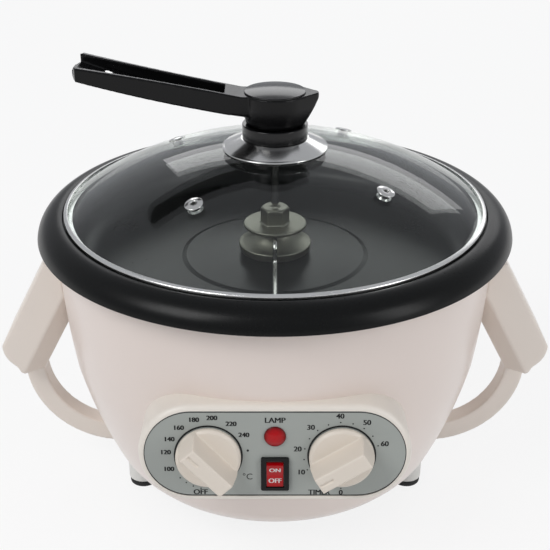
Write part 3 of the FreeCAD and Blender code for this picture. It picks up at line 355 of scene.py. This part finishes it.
# %% Metals
def metal(name, colour, roughness, grain_scale=600.0, grain=0.03, spread=0.10):
    paint = Paint(name)
    red, green, blue, _ = colour
    shade = (red * 0.82, green * 0.82, blue * 0.82, 1.0)
    fine = paint.noise(grain_scale, 4.0)
    cloud = paint.noise(24.0, 2.0)
    return paint.surface({
        "Base Color": paint.blend(cloud * 0.35 + fine * 0.2, colour, shade),
        "Metallic": 1.0,
        "Roughness": roughness + (fine - 0.5) * spread + (cloud - 0.5) * spread,
        "Normal": paint.bump(fine, grain, GRAIN_DEPTH),
    })


def brushed(name, colour, roughness):
    """Fine lines that run level round the axis."""
    paint = Paint(name)
    lines = paint.noise(60.0, 3.0, (1.0, 1.0, 90.0))
    red, green, blue, _ = colour
    shade = (red * 0.8, green * 0.8, blue * 0.8, 1.0)
    return paint.surface({
        "Base Color": paint.blend(lines, colour, shade),
        "Metallic": 1.0,
        "Roughness": roughness + (lines - 0.5) * 0.18,
        "Normal": paint.bump(lines, 0.05, GRAIN_DEPTH),
    })


CHROME = metal("chrome_plate", linear(222, 222, 220), 0.16, spread=0.05, grain=0.0)
BAND_STEEL = brushed("band_steel", linear(236, 236, 234), 0.24)
STAINLESS = metal("stainless_wire", linear(205, 204, 200), 0.24)
CAST = metal("cast_aluminium", linear(138, 137, 126), 0.44, 900.0, 0.35, 0.16)
ZINC = metal("zinc_steel", linear(160, 163, 166), 0.38)
SHIELD = brushed("shield_sheet", linear(190, 190, 190), 0.34)
BRASS = metal("turned_brass", linear(196, 160, 96), 0.28)
DARK_STEEL = metal("dark_sheath", linear(84, 78, 72), 0.42, 300.0, 0.15)

# %% [markdown]
# Coatings
# The pan is coated with a black non-stick film, flecked very finely, and satin rather than
# glossy. The dial plate is sheet metal in a satin grey.

# %% Coatings
def nonstick():
    paint = Paint("nonstick_black")
    fleck = paint.flecks(1500.0, 0.18)
    orange_peel = paint.noise(700.0, 2.0)
    cloud = paint.noise(14.0, 3.0)
    return paint.surface({
        "Base Color": paint.blend(fleck * 0.55, linear(9, 10, 10), linear(44, 46, 45)),
        "Roughness": 0.30 + (cloud - 0.5) * 0.10 + (orange_peel - 0.5) * 0.08,
        "Normal": paint.bump(orange_peel, 0.12, 2 * GRAIN_DEPTH),
        "Specular IOR Level": 0.18,
    })


def enamel(name, colour, roughness):
    paint = Paint(name)
    red, green, blue, _ = colour
    shade = (red * 0.9, green * 0.9, blue * 0.9, 1.0)
    peel = paint.noise(500.0, 2.0)
    cloud = paint.noise(20.0, 2.0)
    return paint.surface({
        "Base Color": paint.blend(cloud * 0.6, colour, shade),
        "Roughness": roughness + (peel - 0.5) * 0.10,
        "Normal": paint.bump(peel, 0.05, GRAIN_DEPTH),
    })


NONSTICK = nonstick()
PLATE_GREY = enamel("plate_grey", linear(160, 164, 159), 0.40)
BASE_GREY = enamel("base_grey", linear(176, 176, 174), 0.50)
# black for the print, and also for the painted shadow lines round the plate and the dials
INK_AND_PAINTED_SHADOW = enamel("print_and_painted_shadow_black", linear(14, 14, 15), 0.60)
WHITE_INK = enamel("print_white", linear(244, 244, 242), 0.55)

# %% [markdown]
# Clear and coloured glass
# The dome is thin clear glass: it lets light straight through and mirrors the studio more
# strongly at a glancing angle. A clear and a glossy shader are mixed by how far the surface
# turns away; the fifth power is Schlick's rule, and is the same from inside the dome. The
# lamp's lens and the rocker are red, with painted light bright in their middles and painted
# shade darker towards their rims, and they glow a little.

# %% Glass and lens
STRAIGHT_ON = 0.022
GLANCING_GAIN = 0.75
RED_GLOW = 0.03


def dome_glass():
    paint = Paint("dome_glass")
    clear = paint.node("ShaderNodeBsdfTransparent", {}, {"Color": (0.955, 0.97, 0.962, 1.0)})
    gloss = paint.node("ShaderNodeBsdfGlossy", {}, {"Color": (1, 1, 1, 1), "Roughness": 0.03})
    glancing = paint.node("ShaderNodeLayerWeight", {}, {"Blend": 0.5}, "Facing")
    mist = paint.noise(30.0, 3.0)
    factor = STRAIGHT_ON + mist * 0.006 + (glancing ** 5.0) * GLANCING_GAIN
    paint.output(paint.node("ShaderNodeMixShader", {}, [factor, clear, gloss]))
    return paint.material


def red_lens_with_painted_shade(name, middle_v, middle_z, reach):
    """Clear red plastic with painted light: bright in its middle and painted shade dark at its
    reach, in millimetres.
    """
    paint = Paint(name)
    cloud = paint.noise(180.0, 2.0)
    centre = PANEL @ (Vector((0.0, middle_v, middle_z)) * MM)
    far = paint.node(
        "ShaderNodeVectorMath", {"operation": "DISTANCE"}, [paint.place, centre], "Value"
    )
    # painted shade: the red darkens towards the rim and stays bright in the middle, standing in
    # for how light falls through the lens
    rim = (far * (1.0 / (reach * MM))) ** 4.0
    return paint.surface({
        "Base Color": paint.blend(rim + cloud * 0.1, linear(168, 0, 10), linear(66, 0, 3)),
        "Roughness": 0.20 + cloud * 0.08,
        "Specular IOR Level": 0.3,
        "Emission Color": linear(255, 10, 20),
        "Emission Strength": RED_GLOW,
    })


GLASS = dome_glass()
LAMP_RED = red_lens_with_painted_shade("lamp_red", LAMP_V, 2.0, 6.2)
ROCKER_RED = red_lens_with_painted_shade("rocker_red", ROCKER_V, 1.0, 12.0)

# %% [markdown]
# The bowl
# The housing is one moulded bowl: nearly upright at the top, drawn in below the dials, and
# turned in again above its feet. Its outline is three arcs, turned about the axis, with the
# wall's thickness closed inside.

# %% Housing
def housing():
    outside = [(131.9, 188.5), (133.2, 186.6)]
    outside += arc((136.5, 178.0), (134.3, 130.0), (130.5, 97.0), 24)
    outside += arc((130.5, 97.0), (122.0, 66.0), (109.7, 34.0), 20)[1:]
    outside += arc((109.7, 34.0), (106.5, 28.5), (102.4, 24.0), 8)[1:]
    outside += [(101.6, 22.9), (100.4, 21.9), (99.0, 21.5)]
    inside = [(82.0, 21.5), (82.0, 24.0)]
    inside += arc((99.9, 24.0), (104.0, 28.5), (107.2, 34.0), 6)
    inside += arc((107.2, 34.0), (119.5, 66.0), (128.0, 97.0), 12)[1:]
    inside += arc((128.0, 97.0), (131.8, 130.0), (134.0, 178.0), 12)[1:]
    inside += [(129.6, 186.0), (129.6, 188.5)]
    mesh = lathe_mesh("bowl_shell", outside + inside, turns=256)
    finish_mesh("bowl_shell", mesh, "base", BODY_CREAM, ["housing"])


housing()

# %% [markdown]
# The control pod
# The pod is a long round-ended box that grows out of the bowl. It is modelled from the front
# rim back into the bowl, so that the curve where they meet is the true one. Its front edge
# is softly rounded, and a shallow recess takes the dial plate.

# %% Pod and plate
POD_W = 151.0
POD_H = 60.0
POD_ROUND = 3.2  # the radius of the pod's front edge
END_STEPS = 28


def stadium(width, height):
    """A round-ended outline, in millimetres."""
    end = height / 2
    reach = width / 2 - end
    points = []
    for side in (1, -1):
        for step in range(END_STEPS + 1):
            angle = math.pi * (step / END_STEPS - 0.5)
            u = reach + end * math.cos(angle)
            points.append((side * u, side * end * math.sin(angle)))
    return points


def rings_mesh(name, rings, place):
    """Join outlines of equal count, each (points, height), into one skin with closed ends."""
    vertices = []
    faces = []
    count = len(rings[0][0])
    for points, height in rings:
        for u, v in points:
            vertices.append(place @ Vector((u * MM, v * MM, height * MM)))
    for ring in range(len(rings) - 1):
        for index in range(count):
            after = (index + 1) % count
            low = ring * count
            high = low + count
            faces.append((low + index, low + after, high + after, high + index))
    faces.append(tuple(range(count)))
    faces.append(tuple(range((len(rings) - 1) * count, len(rings) * count)))
    return mesh_from(name, vertices, faces)


def control_pod():
    rings = [(stadium(POD_W, POD_H), -46.0), (stadium(POD_W, POD_H), -3.4)]
    for step in range(1, 7):
        angle = math.radians(15 * step)
        inset = POD_ROUND * (1 - math.cos(angle))
        height = POD_ROUND * math.sin(angle) - POD_ROUND
        rings.append((stadium(POD_W - 2 * inset, POD_H - 2 * inset), height))
    for width, height, depth in ((145.9, 53.9, 0.0), (145.6, 53.6, -0.2), (145.6, 53.6, -1.4)):
        rings.append((stadium(width, height), depth))
    mesh = rings_mesh("pod_shell", rings, PANEL)
    finish_mesh("pod_shell", mesh, "base", POD_CREAM, ["control_pod"])


def dial_plate():
    sizes = ((145.0, 53.0, -1.4), (145.0, 53.0, -0.35), (144.7, 52.7, -0.2))
    rings = [(stadium(width, height), depth) for width, height, depth in sizes]
    mesh = rings_mesh("dial_panel", rings, PANEL)
    finish_mesh("dial_panel", mesh, "base", PLATE_GREY, ["dial_plate"])


control_pod()
dial_plate()

# %% [markdown]
# The pan
# Pressed sheet: a flat floor with a faint step, a round corner up to the wall, a ledge for
# the lid and a broad rim that rolls outwards and down over the bowl.

# %% Pan
def roasting_pan():
    top = rounded([
        (6.95, 171.8), (9.0, 171.8, 0.6), (9.0, 160.0, 2.0), (13.0, 159.4, 3.0),
        (56.5, 158.8, 2.0), (59.5, 158.0, 2.0), (112.0, 158.0),
    ], closed=False)
    top += arc((112.0, 158.0), (122.6, 162.4), (127.0, 173.0), 12)[1:]
    top += rounded([
        (127.0, 173.2), (127.0, 190.1, 1.2), (131.8, 190.1, 0.5), (131.8, 192.4, 0.5),
        (132.8, 192.7),
    ], closed=False)
    top += arc((132.8, 192.7), (143.4, 188.6), (147.8, 180.0), 20)[1:]
    under = [(147.5, 179.7), (146.6, 179.7), (146.2, 180.0)]
    under += arc((146.2, 180.4), (142.2, 187.2), (133.8, 188.8), 14)[1:]
    under += [(131.6, 188.5), (128.6, 188.5), (128.6, 173.0)]
    under += arc((128.6, 173.0), (124.2, 160.8), (112.0, 156.4), 8)[1:]
    under += [(6.95, 156.4)]
    mesh = lathe_mesh("pan_bowl", top + under, turns=256)
    finish_mesh("pan_bowl", mesh, "base", NONSTICK, ["roasting_pan"])


roasting_pan()

# %% [markdown]
# The lid
# The dome is a cap of a sphere, pressed from sheet glass, with its edge held in a rolled
# steel band. Four plated eyelets let the steam out, and a spun cone spreads the load of the
# knob. The eyelets are one turned piece, set round a circle by Geometry Nodes.

# %% Dome and band
DOME_TOP = 232.0
DOME_BALL = 234.6
GLASS_THICK = 3.2
GLASS_R = 129.9
STUD_HOLE_R = 6.0


def dome_height(radius, ball=DOME_BALL):
    return DOME_TOP - DOME_BALL + math.sqrt(ball ** 2 - radius ** 2)


def dome():
    inner = DOME_BALL - GLASS_THICK
    outline = []
    steps = 40
    for step in range(steps + 1):
        radius = STUD_HOLE_R + (GLASS_R - STUD_HOLE_R) * step / steps
        outline.append((radius, dome_height(radius)))
    foot = 191.2
    foot_r = math.sqrt(inner ** 2 - (foot - DOME_TOP + DOME_BALL) ** 2)
    outline.append((GLASS_R, foot))
    for step in range(steps + 1):
        radius = foot_r + (STUD_HOLE_R - foot_r) * step / steps
        outline.append((radius, dome_height(radius, inner)))
    mesh = lathe_mesh("lid_dome", outline, turns=192)
    finish_mesh("lid_dome", mesh, "lid", GLASS, ["lid_glass"])


def rim_band():
    top = dome_height(GLASS_R) + 0.15
    inner = 128.6
    lip = dome_height(inner) + 0.15
    outline = rounded([
        (131.0, 190.4, 0.3), (131.0, top + 1.3, 0.9), (129.7, top + 1.75, 0.6),
        (inner, lip + 1.2, 0.3), (inner, lip, 0.2), (129.92, top), (129.92, 191.18),
        (125.9, 191.18), (125.9, 190.4),
    ])
    mesh = lathe_mesh("lid_rim_band", outline, turns=256)
    finish_mesh("lid_rim_band", mesh, "lid", BAND_STEEL, ["lid_band"])


dome()
rim_band()

# %% [markdown]
# Copies round a circle
# The eyelets, and the dots printed round the dials, are one small piece repeated in equal
# turns. A Geometry Nodes tree does that: it puts a point at the middle for each copy, hangs
# the piece on it and turns it by its number. Realize Instances makes the copies real.

# %% Ring of copies
def ring_tree():
    tree = bpy.data.node_groups.new("ring_of_copies", "GeometryNodeTree")
    sockets = {}
    for title, kind in (("Piece", "Geometry"), ("Count", "Int"), ("First turn", "Float"),
                        ("Step", "Float"), ("Finish", "Material")):
        made = tree.interface.new_socket(
            title, in_out="INPUT", socket_type="NodeSocket" + kind
        )
        sockets[title] = made.identifier
    tree.interface.new_socket("Ring", in_out="OUTPUT", socket_type="NodeSocketGeometry")
    given = tree.nodes.new("NodeGroupInput")
    result = tree.nodes.new("NodeGroupOutput")
    points = tree.nodes.new("GeometryNodePoints")
    number = tree.nodes.new("GeometryNodeInputIndex")
    turn = tree.nodes.new("ShaderNodeMath")
    turn.operation = "MULTIPLY_ADD"
    upright = tree.nodes.new("ShaderNodeCombineXYZ")
    copies = tree.nodes.new("GeometryNodeInstanceOnPoints")
    real = tree.nodes.new("GeometryNodeRealizeInstances")
    finish = tree.nodes.new("GeometryNodeSetMaterial")
    link = tree.links.new
    link(given.outputs["Count"], points.inputs["Count"])
    link(number.outputs["Index"], turn.inputs[0])
    link(given.outputs["Step"], turn.inputs[1])
    link(given.outputs["First turn"], turn.inputs[2])
    link(turn.outputs["Value"], upright.inputs["Z"])
    link(points.outputs[0], copies.inputs["Points"])
    link(given.outputs["Piece"], copies.inputs["Instance"])
    link(upright.outputs["Vector"], copies.inputs["Rotation"])
    link(copies.outputs["Instances"], real.inputs["Geometry"])
    link(real.outputs["Geometry"], finish.inputs["Geometry"])
    link(given.outputs["Finish"], finish.inputs["Material"])
    link(finish.outputs["Geometry"], result.inputs["Ring"])
    return tree, sockets


RING, RING_SOCKETS = ring_tree()


def evaluated_mesh(piece, name):
    """What an object's modifiers make of it, as a plain mesh; the object is then removed."""
    graph = bpy.context.evaluated_depsgraph_get()
    mesh = bpy.data.meshes.new_from_object(piece.evaluated_get(graph))
    mesh.name = name
    bpy.data.objects.remove(piece)
    return mesh


def ring_mesh(name, mesh, count, first_deg, step_deg, material):
    """Copies of a mesh, drawn about the world's upright axis, in equal turns round it."""
    piece = bpy.data.objects.new(name + "_one", mesh)
    bpy.context.scene.collection.objects.link(piece)
    ring = piece.modifiers.new("ring", "NODES")
    ring.node_group = RING
    ring[RING_SOCKETS["Count"]] = count
    ring[RING_SOCKETS["First turn"]] = math.radians(first_deg)
    ring[RING_SOCKETS["Step"]] = math.radians(step_deg)
    ring[RING_SOCKETS["Finish"]] = material
    return evaluated_mesh(piece, name)


# %% [markdown]
# Steam vents
# Each vent is a plated brass eyelet, rolled over on top and spread under the glass. It stands
# square to the dome, so it leans out by the angle of the sphere at its circle.

# %% Steam vents
VENT_CIRCLE = 79.0


def steam_vents():
    outline = rounded([
        (1.75, -4.1, 0.2), (1.75, 1.2, 0.5), (3.2, 1.2, 0.9), (5.5, 0.7, 0.5),
        (5.5, 0.07, 0.05), (3.4, 0.07), (3.4, -3.27), (4.6, -3.27, 0.2), (4.4, -4.1, 0.3),
    ], steps=5)
    eyelet = lathe_mesh("eyelet", outline, turns=48, centre=Vector())
    lean = Matrix.Rotation(math.asin(VENT_CIRCLE / DOME_BALL), 4, "Y")
    place = Vector((VENT_CIRCLE * MM, 0.0, dome_height(VENT_CIRCLE) * MM))
    eyelet.transform(Matrix.Translation(place) @ lean)
    mesh = ring_mesh("vent_eyelets", eyelet, 4, -35.5, 90.0, CHROME)
    mesh.transform(Matrix.Translation(AXIS))
    finish_mesh("vent_eyelets", mesh, "lid", CHROME, ["steam_vents"])


steam_vents()

# %% [markdown]
# Under the lid's knob
# The flange is spun from thin sheet and mirror plated. The neck on it is turned black plastic
# with a high polish, so it mirrors the panels of light as two upright bars.

# %% Flange and neck
def knob_flange():
    seat = dome_height(32.4) + 0.1
    outline = rounded([
        (5.52, 236.4), (20.6, 236.4, 1.6), (30.9, seat + 1.5, 2.0), (32.4, seat + 0.9, 0.5),
        (32.3, seat, 0.3), (30.4, seat + 0.3, 1.0), (20.4, 234.9, 1.2), (5.52, 234.9),
    ])
    mesh = lathe_mesh("spun_flange", outline, turns=160)
    finish_mesh("spun_flange", mesh, "lid", CHROME, ["knob_flange"])


def knob_neck():
    outline = rounded([
        (5.52, 236.42), (20.0, 236.42, 0.9), (20.0, 245.0, 0.6), (5.52, 245.0),
    ])
    mesh = lathe_mesh("knob_neck", outline, turns=128)
    finish_mesh("knob_neck", mesh, "lid", BLACK_GLOSS, ["lid_knob"])


knob_flange()
knob_neck()

# %% [markdown]
# Soft moulded shapes
# The handles, the dial knobs and the hub have free shapes whose every edge is a little round.
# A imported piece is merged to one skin, remeshed into even small squares and relaxed a few
# times. Flat faces stay flat, and each edge gets the radius that a mould gives it.

# %% Handles, knobs and hub
def soft_piece(name, node, body, material, square, passes):
    """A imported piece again, its edges rounded; square is the mesh size in millimetres."""
    work = bmesh.new()
    work.from_mesh(frame["nodes"][node].data)
    bmesh.ops.remove_doubles(work, verts=work.verts, dist=0.000005)
    mesh = bpy.data.meshes.new(name + "_plain")
    work.to_mesh(mesh)
    work.free()
    piece = bpy.data.objects.new(name + "_plain", mesh)
    bpy.context.scene.collection.objects.link(piece)
    skin = piece.modifiers.new("skin", "REMESH")
    skin.mode = "VOXEL"
    skin.voxel_size = square * MM
    relax = piece.modifiers.new("relax", "SMOOTH")
    relax.factor = 0.5
    relax.iterations = passes
    mesh = evaluated_mesh(piece, name)
    print(name, "faces:", len(mesh.polygons))
    return finish_mesh(name, mesh, body, material, [node], sharp_deg=180.0)


soft_piece("grip_left", "handle_left", "base", EAR_CREAM, 0.8, 8)
soft_piece("grip_right", "handle_right", "base", EAR_CREAM, 0.8, 8)
lever = soft_piece("lid_lever", "lid_handle", "lid", BLACK_SATIN, 0.5, 8)
soft_piece("lever_strip", "handle_insert", "lid", BLACK_GLOSS, 0.35, 2)
soft_piece("stirrer_boss", "stirrer_hub", "stirrer", CAST, 0.5, 3)
soft_piece("heat_dial", "thermostat_knob", "thermostat", KNOB_CREAM, 0.3, 5)
soft_piece("time_dial", "timer_knob", "timer", KNOB_CREAM, 0.3, 5)
soft_piece("moulded_feet", "feet", "base", FOOT_WHITE, 0.6, 4)
soft_piece("rubber_pads", "foot_pads", "base", PAD_RUBBER, 0.5, 3)
soft_piece("rocker_key", "switch_rocker", "rocker", ROCKER_RED, 0.2, 2)

# %% [markdown]
# The lever's head
# Below its cap the head narrows like a cup towards the neck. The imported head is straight, so
# its points are drawn in towards the axis, more so the lower they are, and relaxed again.

# %% Cup under the lever's head
HEAD_LOW = 245.0
HEAD_CUP = 15.0
CUP_INSET = 0.13
CUP_NEAR_X = -17.0  # the cup fades out between these, where the arm joins the head
CUP_FAR_X = -27.0


def cup_under_head(mesh):
    work = bmesh.new()
    work.from_mesh(mesh)
    near = []
    for point in work.verts:
        depth = (HEAD_LOW + HEAD_CUP - point.co.z / MM) / HEAD_CUP
        if point.co.x / MM < CUP_FAR_X or depth <= 0.0:
            continue
        share = 1.0 - CUP_INSET * min(depth, 1.0) ** 2
        towards_arm = (CUP_NEAR_X - point.co.x / MM) / (CUP_NEAR_X - CUP_FAR_X)
        share += (1.0 - share) * min(1.0, max(0.0, towards_arm))
        point.co.x *= share
        point.co.y = AXIS.y + (point.co.y - AXIS.y) * share
        near.append(point)
    for _ in range(12):
        bmesh.ops.smooth_vert(work, verts=near, factor=0.5, use_axis_x=True, use_axis_y=True,
                              use_axis_z=True)
    work.to_mesh(mesh)
    work.free()
    print("points of the cup:", len(near))


cup_under_head(lever.data)

# %% [markdown]
# Cap on the lever's head
# A shallow polished dome closes the head. It is turned like the flange.

# %% Cap
def lever_cap():
    outline = [(0.0, 264.52)] + rounded([
        (0.0, 264.52), (18.6, 264.52), (18.6, 265.4, 0.4), (17.9, 265.5),
    ], closed=False)[1:]
    outline += arc((17.9, 265.5), (10.0, 266.48), (0.0, 266.88), 14)[1:]
    mesh = lathe_mesh("lever_cap", outline, turns=128)
    finish_mesh("lever_cap", mesh, "lid", BLACK_GLOSS, ["handle_cap"])


lever_cap()

# %% [markdown]
# Print and painted shadow lines on the dial plate
# The scale is screen-printed: figures and dots. A thin dark line round the plate and round
# each dial is painted shadow, for the narrow gaps at their edges. Each word is a text curve,
# made a mesh before it is laid on the leaning face, a few hundredths of a millimetre thick,
# like the ink itself.

# %% Words and dots
INK_T = 0.03
PRINT_Z = -0.2 + INK_T
CAP_SHARE = 0.73  # the height of a capital over the size of its letter


def joined_mesh(name, meshes):
    work = bmesh.new()
    for mesh in meshes:
        work.from_mesh(mesh)
    mesh = bpy.data.meshes.new(name)
    work.to_mesh(mesh)
    work.free()
    return mesh


def word_mesh(text, height, place):
    """A word as a thin flat mesh; height is that of its figures, in millimetres."""
    curve = bpy.data.curves.new("word", "FONT")
    curve.body = text
    curve.align_x = "CENTER"
    curve.align_y = "CENTER"
    curve.size = height / CAP_SHARE * MM
    curve.extrude = INK_T * MM
    curve.resolution_u = 4
    piece = bpy.data.objects.new("word", curve)
    bpy.context.scene.collection.objects.link(piece)
    mesh = evaluated_mesh(piece, "word")
    mesh.transform(place)
    return mesh


def bold_word(text, height, place, weight):
    """A word struck three times, each a little to one side, which thickens its strokes."""
    meshes = []
    for shift in (-weight, 0.0, weight):
        beside = place @ Matrix.Translation((shift * MM, 0.0, 0.0))
        meshes.append(word_mesh(text, height, beside))
    return joined_mesh("word", meshes)


def on_plate(u, v):
    return PANEL @ Matrix.Translation((u * MM, v * MM, PRINT_Z * MM))


def round_dial(middle_u, radius, degrees):
    """A place round a dial; degrees run clockwise from the left."""
    angle = math.radians(180.0 - degrees)
    return (middle_u + radius * math.cos(angle), DIAL_V + radius * math.sin(angle))


def circle(radius, steps):
    turns = [2 * math.pi * step / steps for step in range(steps)]
    return [(radius * math.cos(turn), radius * math.sin(turn)) for turn in turns]


def dots(middle_u, radius, size, first, step, count):
    """Printed dots round a dial, from first clockwise in equal steps."""
    dot = prism_mesh("dot", circle(size, 12), -INK_T, INK_T)
    dot.transform(Matrix.Translation((radius * MM, 0.0, 0.0)))
    mesh = ring_mesh("dots", dot, count, 180.0 - first, -step, INK_AND_PAINTED_SHADOW)
    mesh.transform(on_plate(middle_u, DIAL_V))
    return mesh


def painted_shadow_line(outline_out, outline_in, place):
    """A thin dark line of painted shadow between two outlines of equal count."""
    count = len(outline_out)
    vertices = []
    for height in (-INK_T, INK_T):
        for ring in (outline_out, outline_in):
            vertices += [place @ Vector((u * MM, v * MM, height * MM)) for u, v in ring]
    faces = []
    for index in range(count):
        after = (index + 1) % count
        corners = [(0, index), (1, index), (3, index), (2, index)]
        ahead = [(0, after), (1, after), (3, after), (2, after)]
        for side in range(4):
            first, second = corners[side], corners[(side + 1) % 4]
            third, fourth = ahead[(side + 1) % 4], ahead[side]
            corner_ids = (first, second, third, fourth)
            faces.append(tuple(ring * count + at for ring, at in corner_ids))
    return mesh_from("line", vertices, faces, merge=0.000001)


HEAT_MARKS = {"100": -21.0, "120": 5.3, "140": 26.0, "160": 47.7, "180": 71.4, "200": 95.8,
              "220": 122.8, "240": 146.6}
TIME_MARKS = {"10": -25.3, "20": 9.7, "30": 45.8, "40": 87.1, "50": 123.0, "60": 162.4}
WORDS = (("0", 3.2, 36.7, -24.6), ("OFF", 3.3, -41.5, -24.2), ("TIMER", 3.2, 24.6, -24.4),
         ("LAMP", 3.4, 0.0, 21.0))
BOLD = 0.18  # how far a word's copies lie apart, in millimetres


def dial_print_and_painted_shadow():
    meshes = []
    for text, degrees in HEAT_MARKS.items():
        place = on_plate(*round_dial(-DIAL_U, 23.6, degrees))
        meshes.append(bold_word(text, 2.9, place, 0.23))
    for text, degrees in TIME_MARKS.items():
        place = on_plate(*round_dial(DIAL_U, 24.6, degrees))
        meshes.append(bold_word(text, 3.2, place, BOLD))
    for text, height, u, v in WORDS:
        meshes.append(bold_word(text, height, on_plate(u, v), BOLD))
    meshes.append(word_mesh("°C", 3.9, on_plate(-15.2, -14.4)))
    meshes.append(dots(-DIAL_U, 21.2, 0.42, -41.4, -12.1, 4))
    meshes.append(dots(-DIAL_U, 22.0, 0.70, 171.3, 10.0, 1))
    meshes.append(dots(DIAL_U, 20.8, 0.42, -25.3, 18.77, 11))
    meshes.append(dots(DIAL_U, 20.8, 0.42, -90.0, 10.0, 1))
    # painted shadow: a dark line round the plate's edge, where the gap to the pod falls in
    # shade
    meshes.append(painted_shadow_line(stadium(144.6, 52.6), stadium(143.7, 51.7), on_plate(0.0, 0.0)))
    # painted shadow: a dark ring round each dial, where the knob's disc shades the plate
    for middle_u in (-DIAL_U, DIAL_U):
        place = on_plate(middle_u, DIAL_V)
        meshes.append(painted_shadow_line(circle(19.0, 96), circle(18.0, 96), place))
    mesh = joined_mesh("dial_print_and_painted_shadow", meshes)
    finish_mesh("dial_print_and_painted_shadow", mesh, "base", INK_AND_PAINTED_SHADOW)
    print("printed marks:", len(meshes))


dial_print_and_painted_shadow()

# %% [markdown]
# Print on the rocker
# The key is a shallow vee that tips on its pin. ON and OFF are printed in white on its two
# halves, so each word is laid on its own slope and rides on the key.

# %% ON and OFF
def rocker_print():
    pivot = -2.0
    tilt = math.radians(8.0)
    key = PANEL @ Matrix.Translation((0.0, ROCKER_V * MM, pivot * MM))
    key = key @ Matrix.Rotation(tilt, 4, "X") @ Matrix.Translation((0.0, 0.0, -pivot * MM))
    meshes = []
    for text, side in (("ON", 1), ("OFF", -1)):
        slope = Matrix.Translation((0.0, 0.0, (1.2 + INK_T) * MM))
        slope = slope @ Matrix.Rotation(side * tilt, 4, "X")
        half = Matrix.Translation((0.0, side * 3.7 * MM, 0.0))
        meshes.append(bold_word(text, 3.0, key @ slope @ half, 0.16))
    mesh = joined_mesh("rocker_print", meshes)
    finish_mesh("rocker_print", mesh, "rocker", WHITE_INK)


rocker_print()

# %% [markdown]
# The pieces that stay as packed
# Everything else already has its right shape: the wires, the switch's bezel, the screws and
# all that works inside. Each gets the finish that its material slot names.

# %% Finishes for the rest
FINISHES = {
    "housing_plastic": BODY_CREAM, "pod_plastic": POD_CREAM, "handle_plastic": EAR_CREAM,
    "knob_plastic": KNOB_CREAM, "foot_plastic": FOOT_WHITE, "pad_rubber": PAD_RUBBER,
    "plate_grey": PLATE_GREY, "nonstick": NONSTICK, "cast_aluminium": CAST,
    "stainless": STAINLESS, "band_steel": BAND_STEEL, "chrome": CHROME, "dome_glass": GLASS,
    "black_gloss": BLACK_GLOSS, "black_satin": BLACK_SATIN, "rocker_red": ROCKER_RED,
    "lamp_red": LAMP_RED, "spindle_brass": BRASS, "zinc_steel": ZINC,
    "shield_aluminium": SHIELD, "element_steel": DARK_STEEL, "base_sheet": BASE_GREY,
    "case_plastic": CASE_DARK, "spring_steel": STAINLESS, "gasket_silicone": GASKET,
}


def finish_the_rest():
    for part in frame["record"]["subparts"]:
        shown = frame["nodes"][part["node"]]
        for slot in shown.material_slots:
            slot.material = FINISHES[part["material_slot"]]


finish_the_rest()

# %% [markdown]
# The studio
# The picture has a plain white ground and soft light from large panels, so the floor is
# pale, looks almost white to the camera, and keeps a little of the object's shadow. The camera
# stands where the photographer's did: above the dials, looking down by 26.5 degrees.

# %% Floor, world, lamps and camera
FLOOR_WHITE = 0.84  # how much of the floor's look is plain white


def studio_floor():
    paint = Paint("studio_floor")
    ray = paint.node("ShaderNodeLightPath", {}, {}, "Is Camera Ray")
    glossy = paint.node("ShaderNodeLightPath", {}, {}, "Is Glossy Ray")
    through = paint.node("ShaderNodeLightPath", {}, {}, "Is Transmission Ray")
    matt = paint.node("ShaderNodeBsdfDiffuse", {}, {"Color": (0.80, 0.80, 0.80, 1.0)})
    white = paint.node("ShaderNodeEmission", {}, {"Color": (1, 1, 1, 1), "Strength": 1.0})
    seen = paint.either(ray, paint.either(glossy, through))
    paint.output(paint.node("ShaderNodeMixShader", {}, [seen * FLOOR_WHITE, matt, white]))
    mesh = bpy.data.meshes.new("studio_floor")
    half = 6.0
    corners = [(-half, -half, 0), (half, -half, 0), (half, half, 0), (-half, half, 0)]
    mesh.from_pydata(corners, [], [(0, 1, 2, 3)])
    mesh.materials.append(paint.material)
    floor = bpy.data.objects.new("studio_floor", mesh)
    bpy.context.scene.collection.objects.link(floor)


def studio_world():
    world = bpy.data.worlds.new("studio")
    world.use_nodes = True
    tree = world.node_tree
    tree.nodes.clear()
    light = tree.nodes.new("ShaderNodeBackground")
    light.inputs["Color"].default_value = (0.93, 0.95, 1.0, 1.0)
    light.inputs["Strength"].default_value = 0.50
    white = tree.nodes.new("ShaderNodeBackground")
    white.inputs["Color"].default_value = (1, 1, 1, 1)
    path = tree.nodes.new("ShaderNodeLightPath")
    mix = tree.nodes.new("ShaderNodeMixShader")
    out = tree.nodes.new("ShaderNodeOutputWorld")
    tree.links.new(path.outputs["Is Camera Ray"], mix.inputs[0])
    tree.links.new(light.outputs[0], mix.inputs[1])
    tree.links.new(white.outputs[0], mix.inputs[2])
    tree.links.new(mix.outputs[0], out.inputs["Surface"])
    bpy.context.scene.world = world


def soft_lamp(name, place, width, height, watts):
    """A rectangular panel that faces the roaster."""
    data = bpy.data.lights.new(name, "AREA")
    data.shape = "RECTANGLE"
    data.size = width
    data.size_y = height
    data.energy = watts
    lamp = bpy.data.objects.new(name, data)
    bpy.context.scene.collection.objects.link(lamp)
    lamp.location = place
    aim = Vector((0.0, 0.0, 0.14)) - Vector(place)
    lamp.rotation_euler = aim.to_track_quat("-Z", "Y").to_euler()


def studio_camera():
    data = bpy.data.cameras.new("camera")
    data.sensor_width = 36.0
    data.lens = 72.0
    camera = bpy.data.objects.new("camera", data)
    bpy.context.scene.collection.objects.link(camera)
    camera.location = (0.0, AXIS.y - 0.639, 0.4608)
    camera.rotation_euler = (math.radians(90.0 - 26.54), 0.0, 0.0)
    bpy.context.scene.camera = camera


studio_floor()
studio_world()
soft_lamp("key", (-1.1, -0.9, 1.5), 0.9, 0.9, 15.0)
soft_lamp("fill", (1.4, -0.9, 0.8), 0.5, 1.1, 7.0)
soft_lamp("back", (0.3, 2.0, 1.1), 2.2, 0.6, 7.0)
studio_camera()
scene = bpy.context.scene
scene.view_settings.view_transform = "Standard"
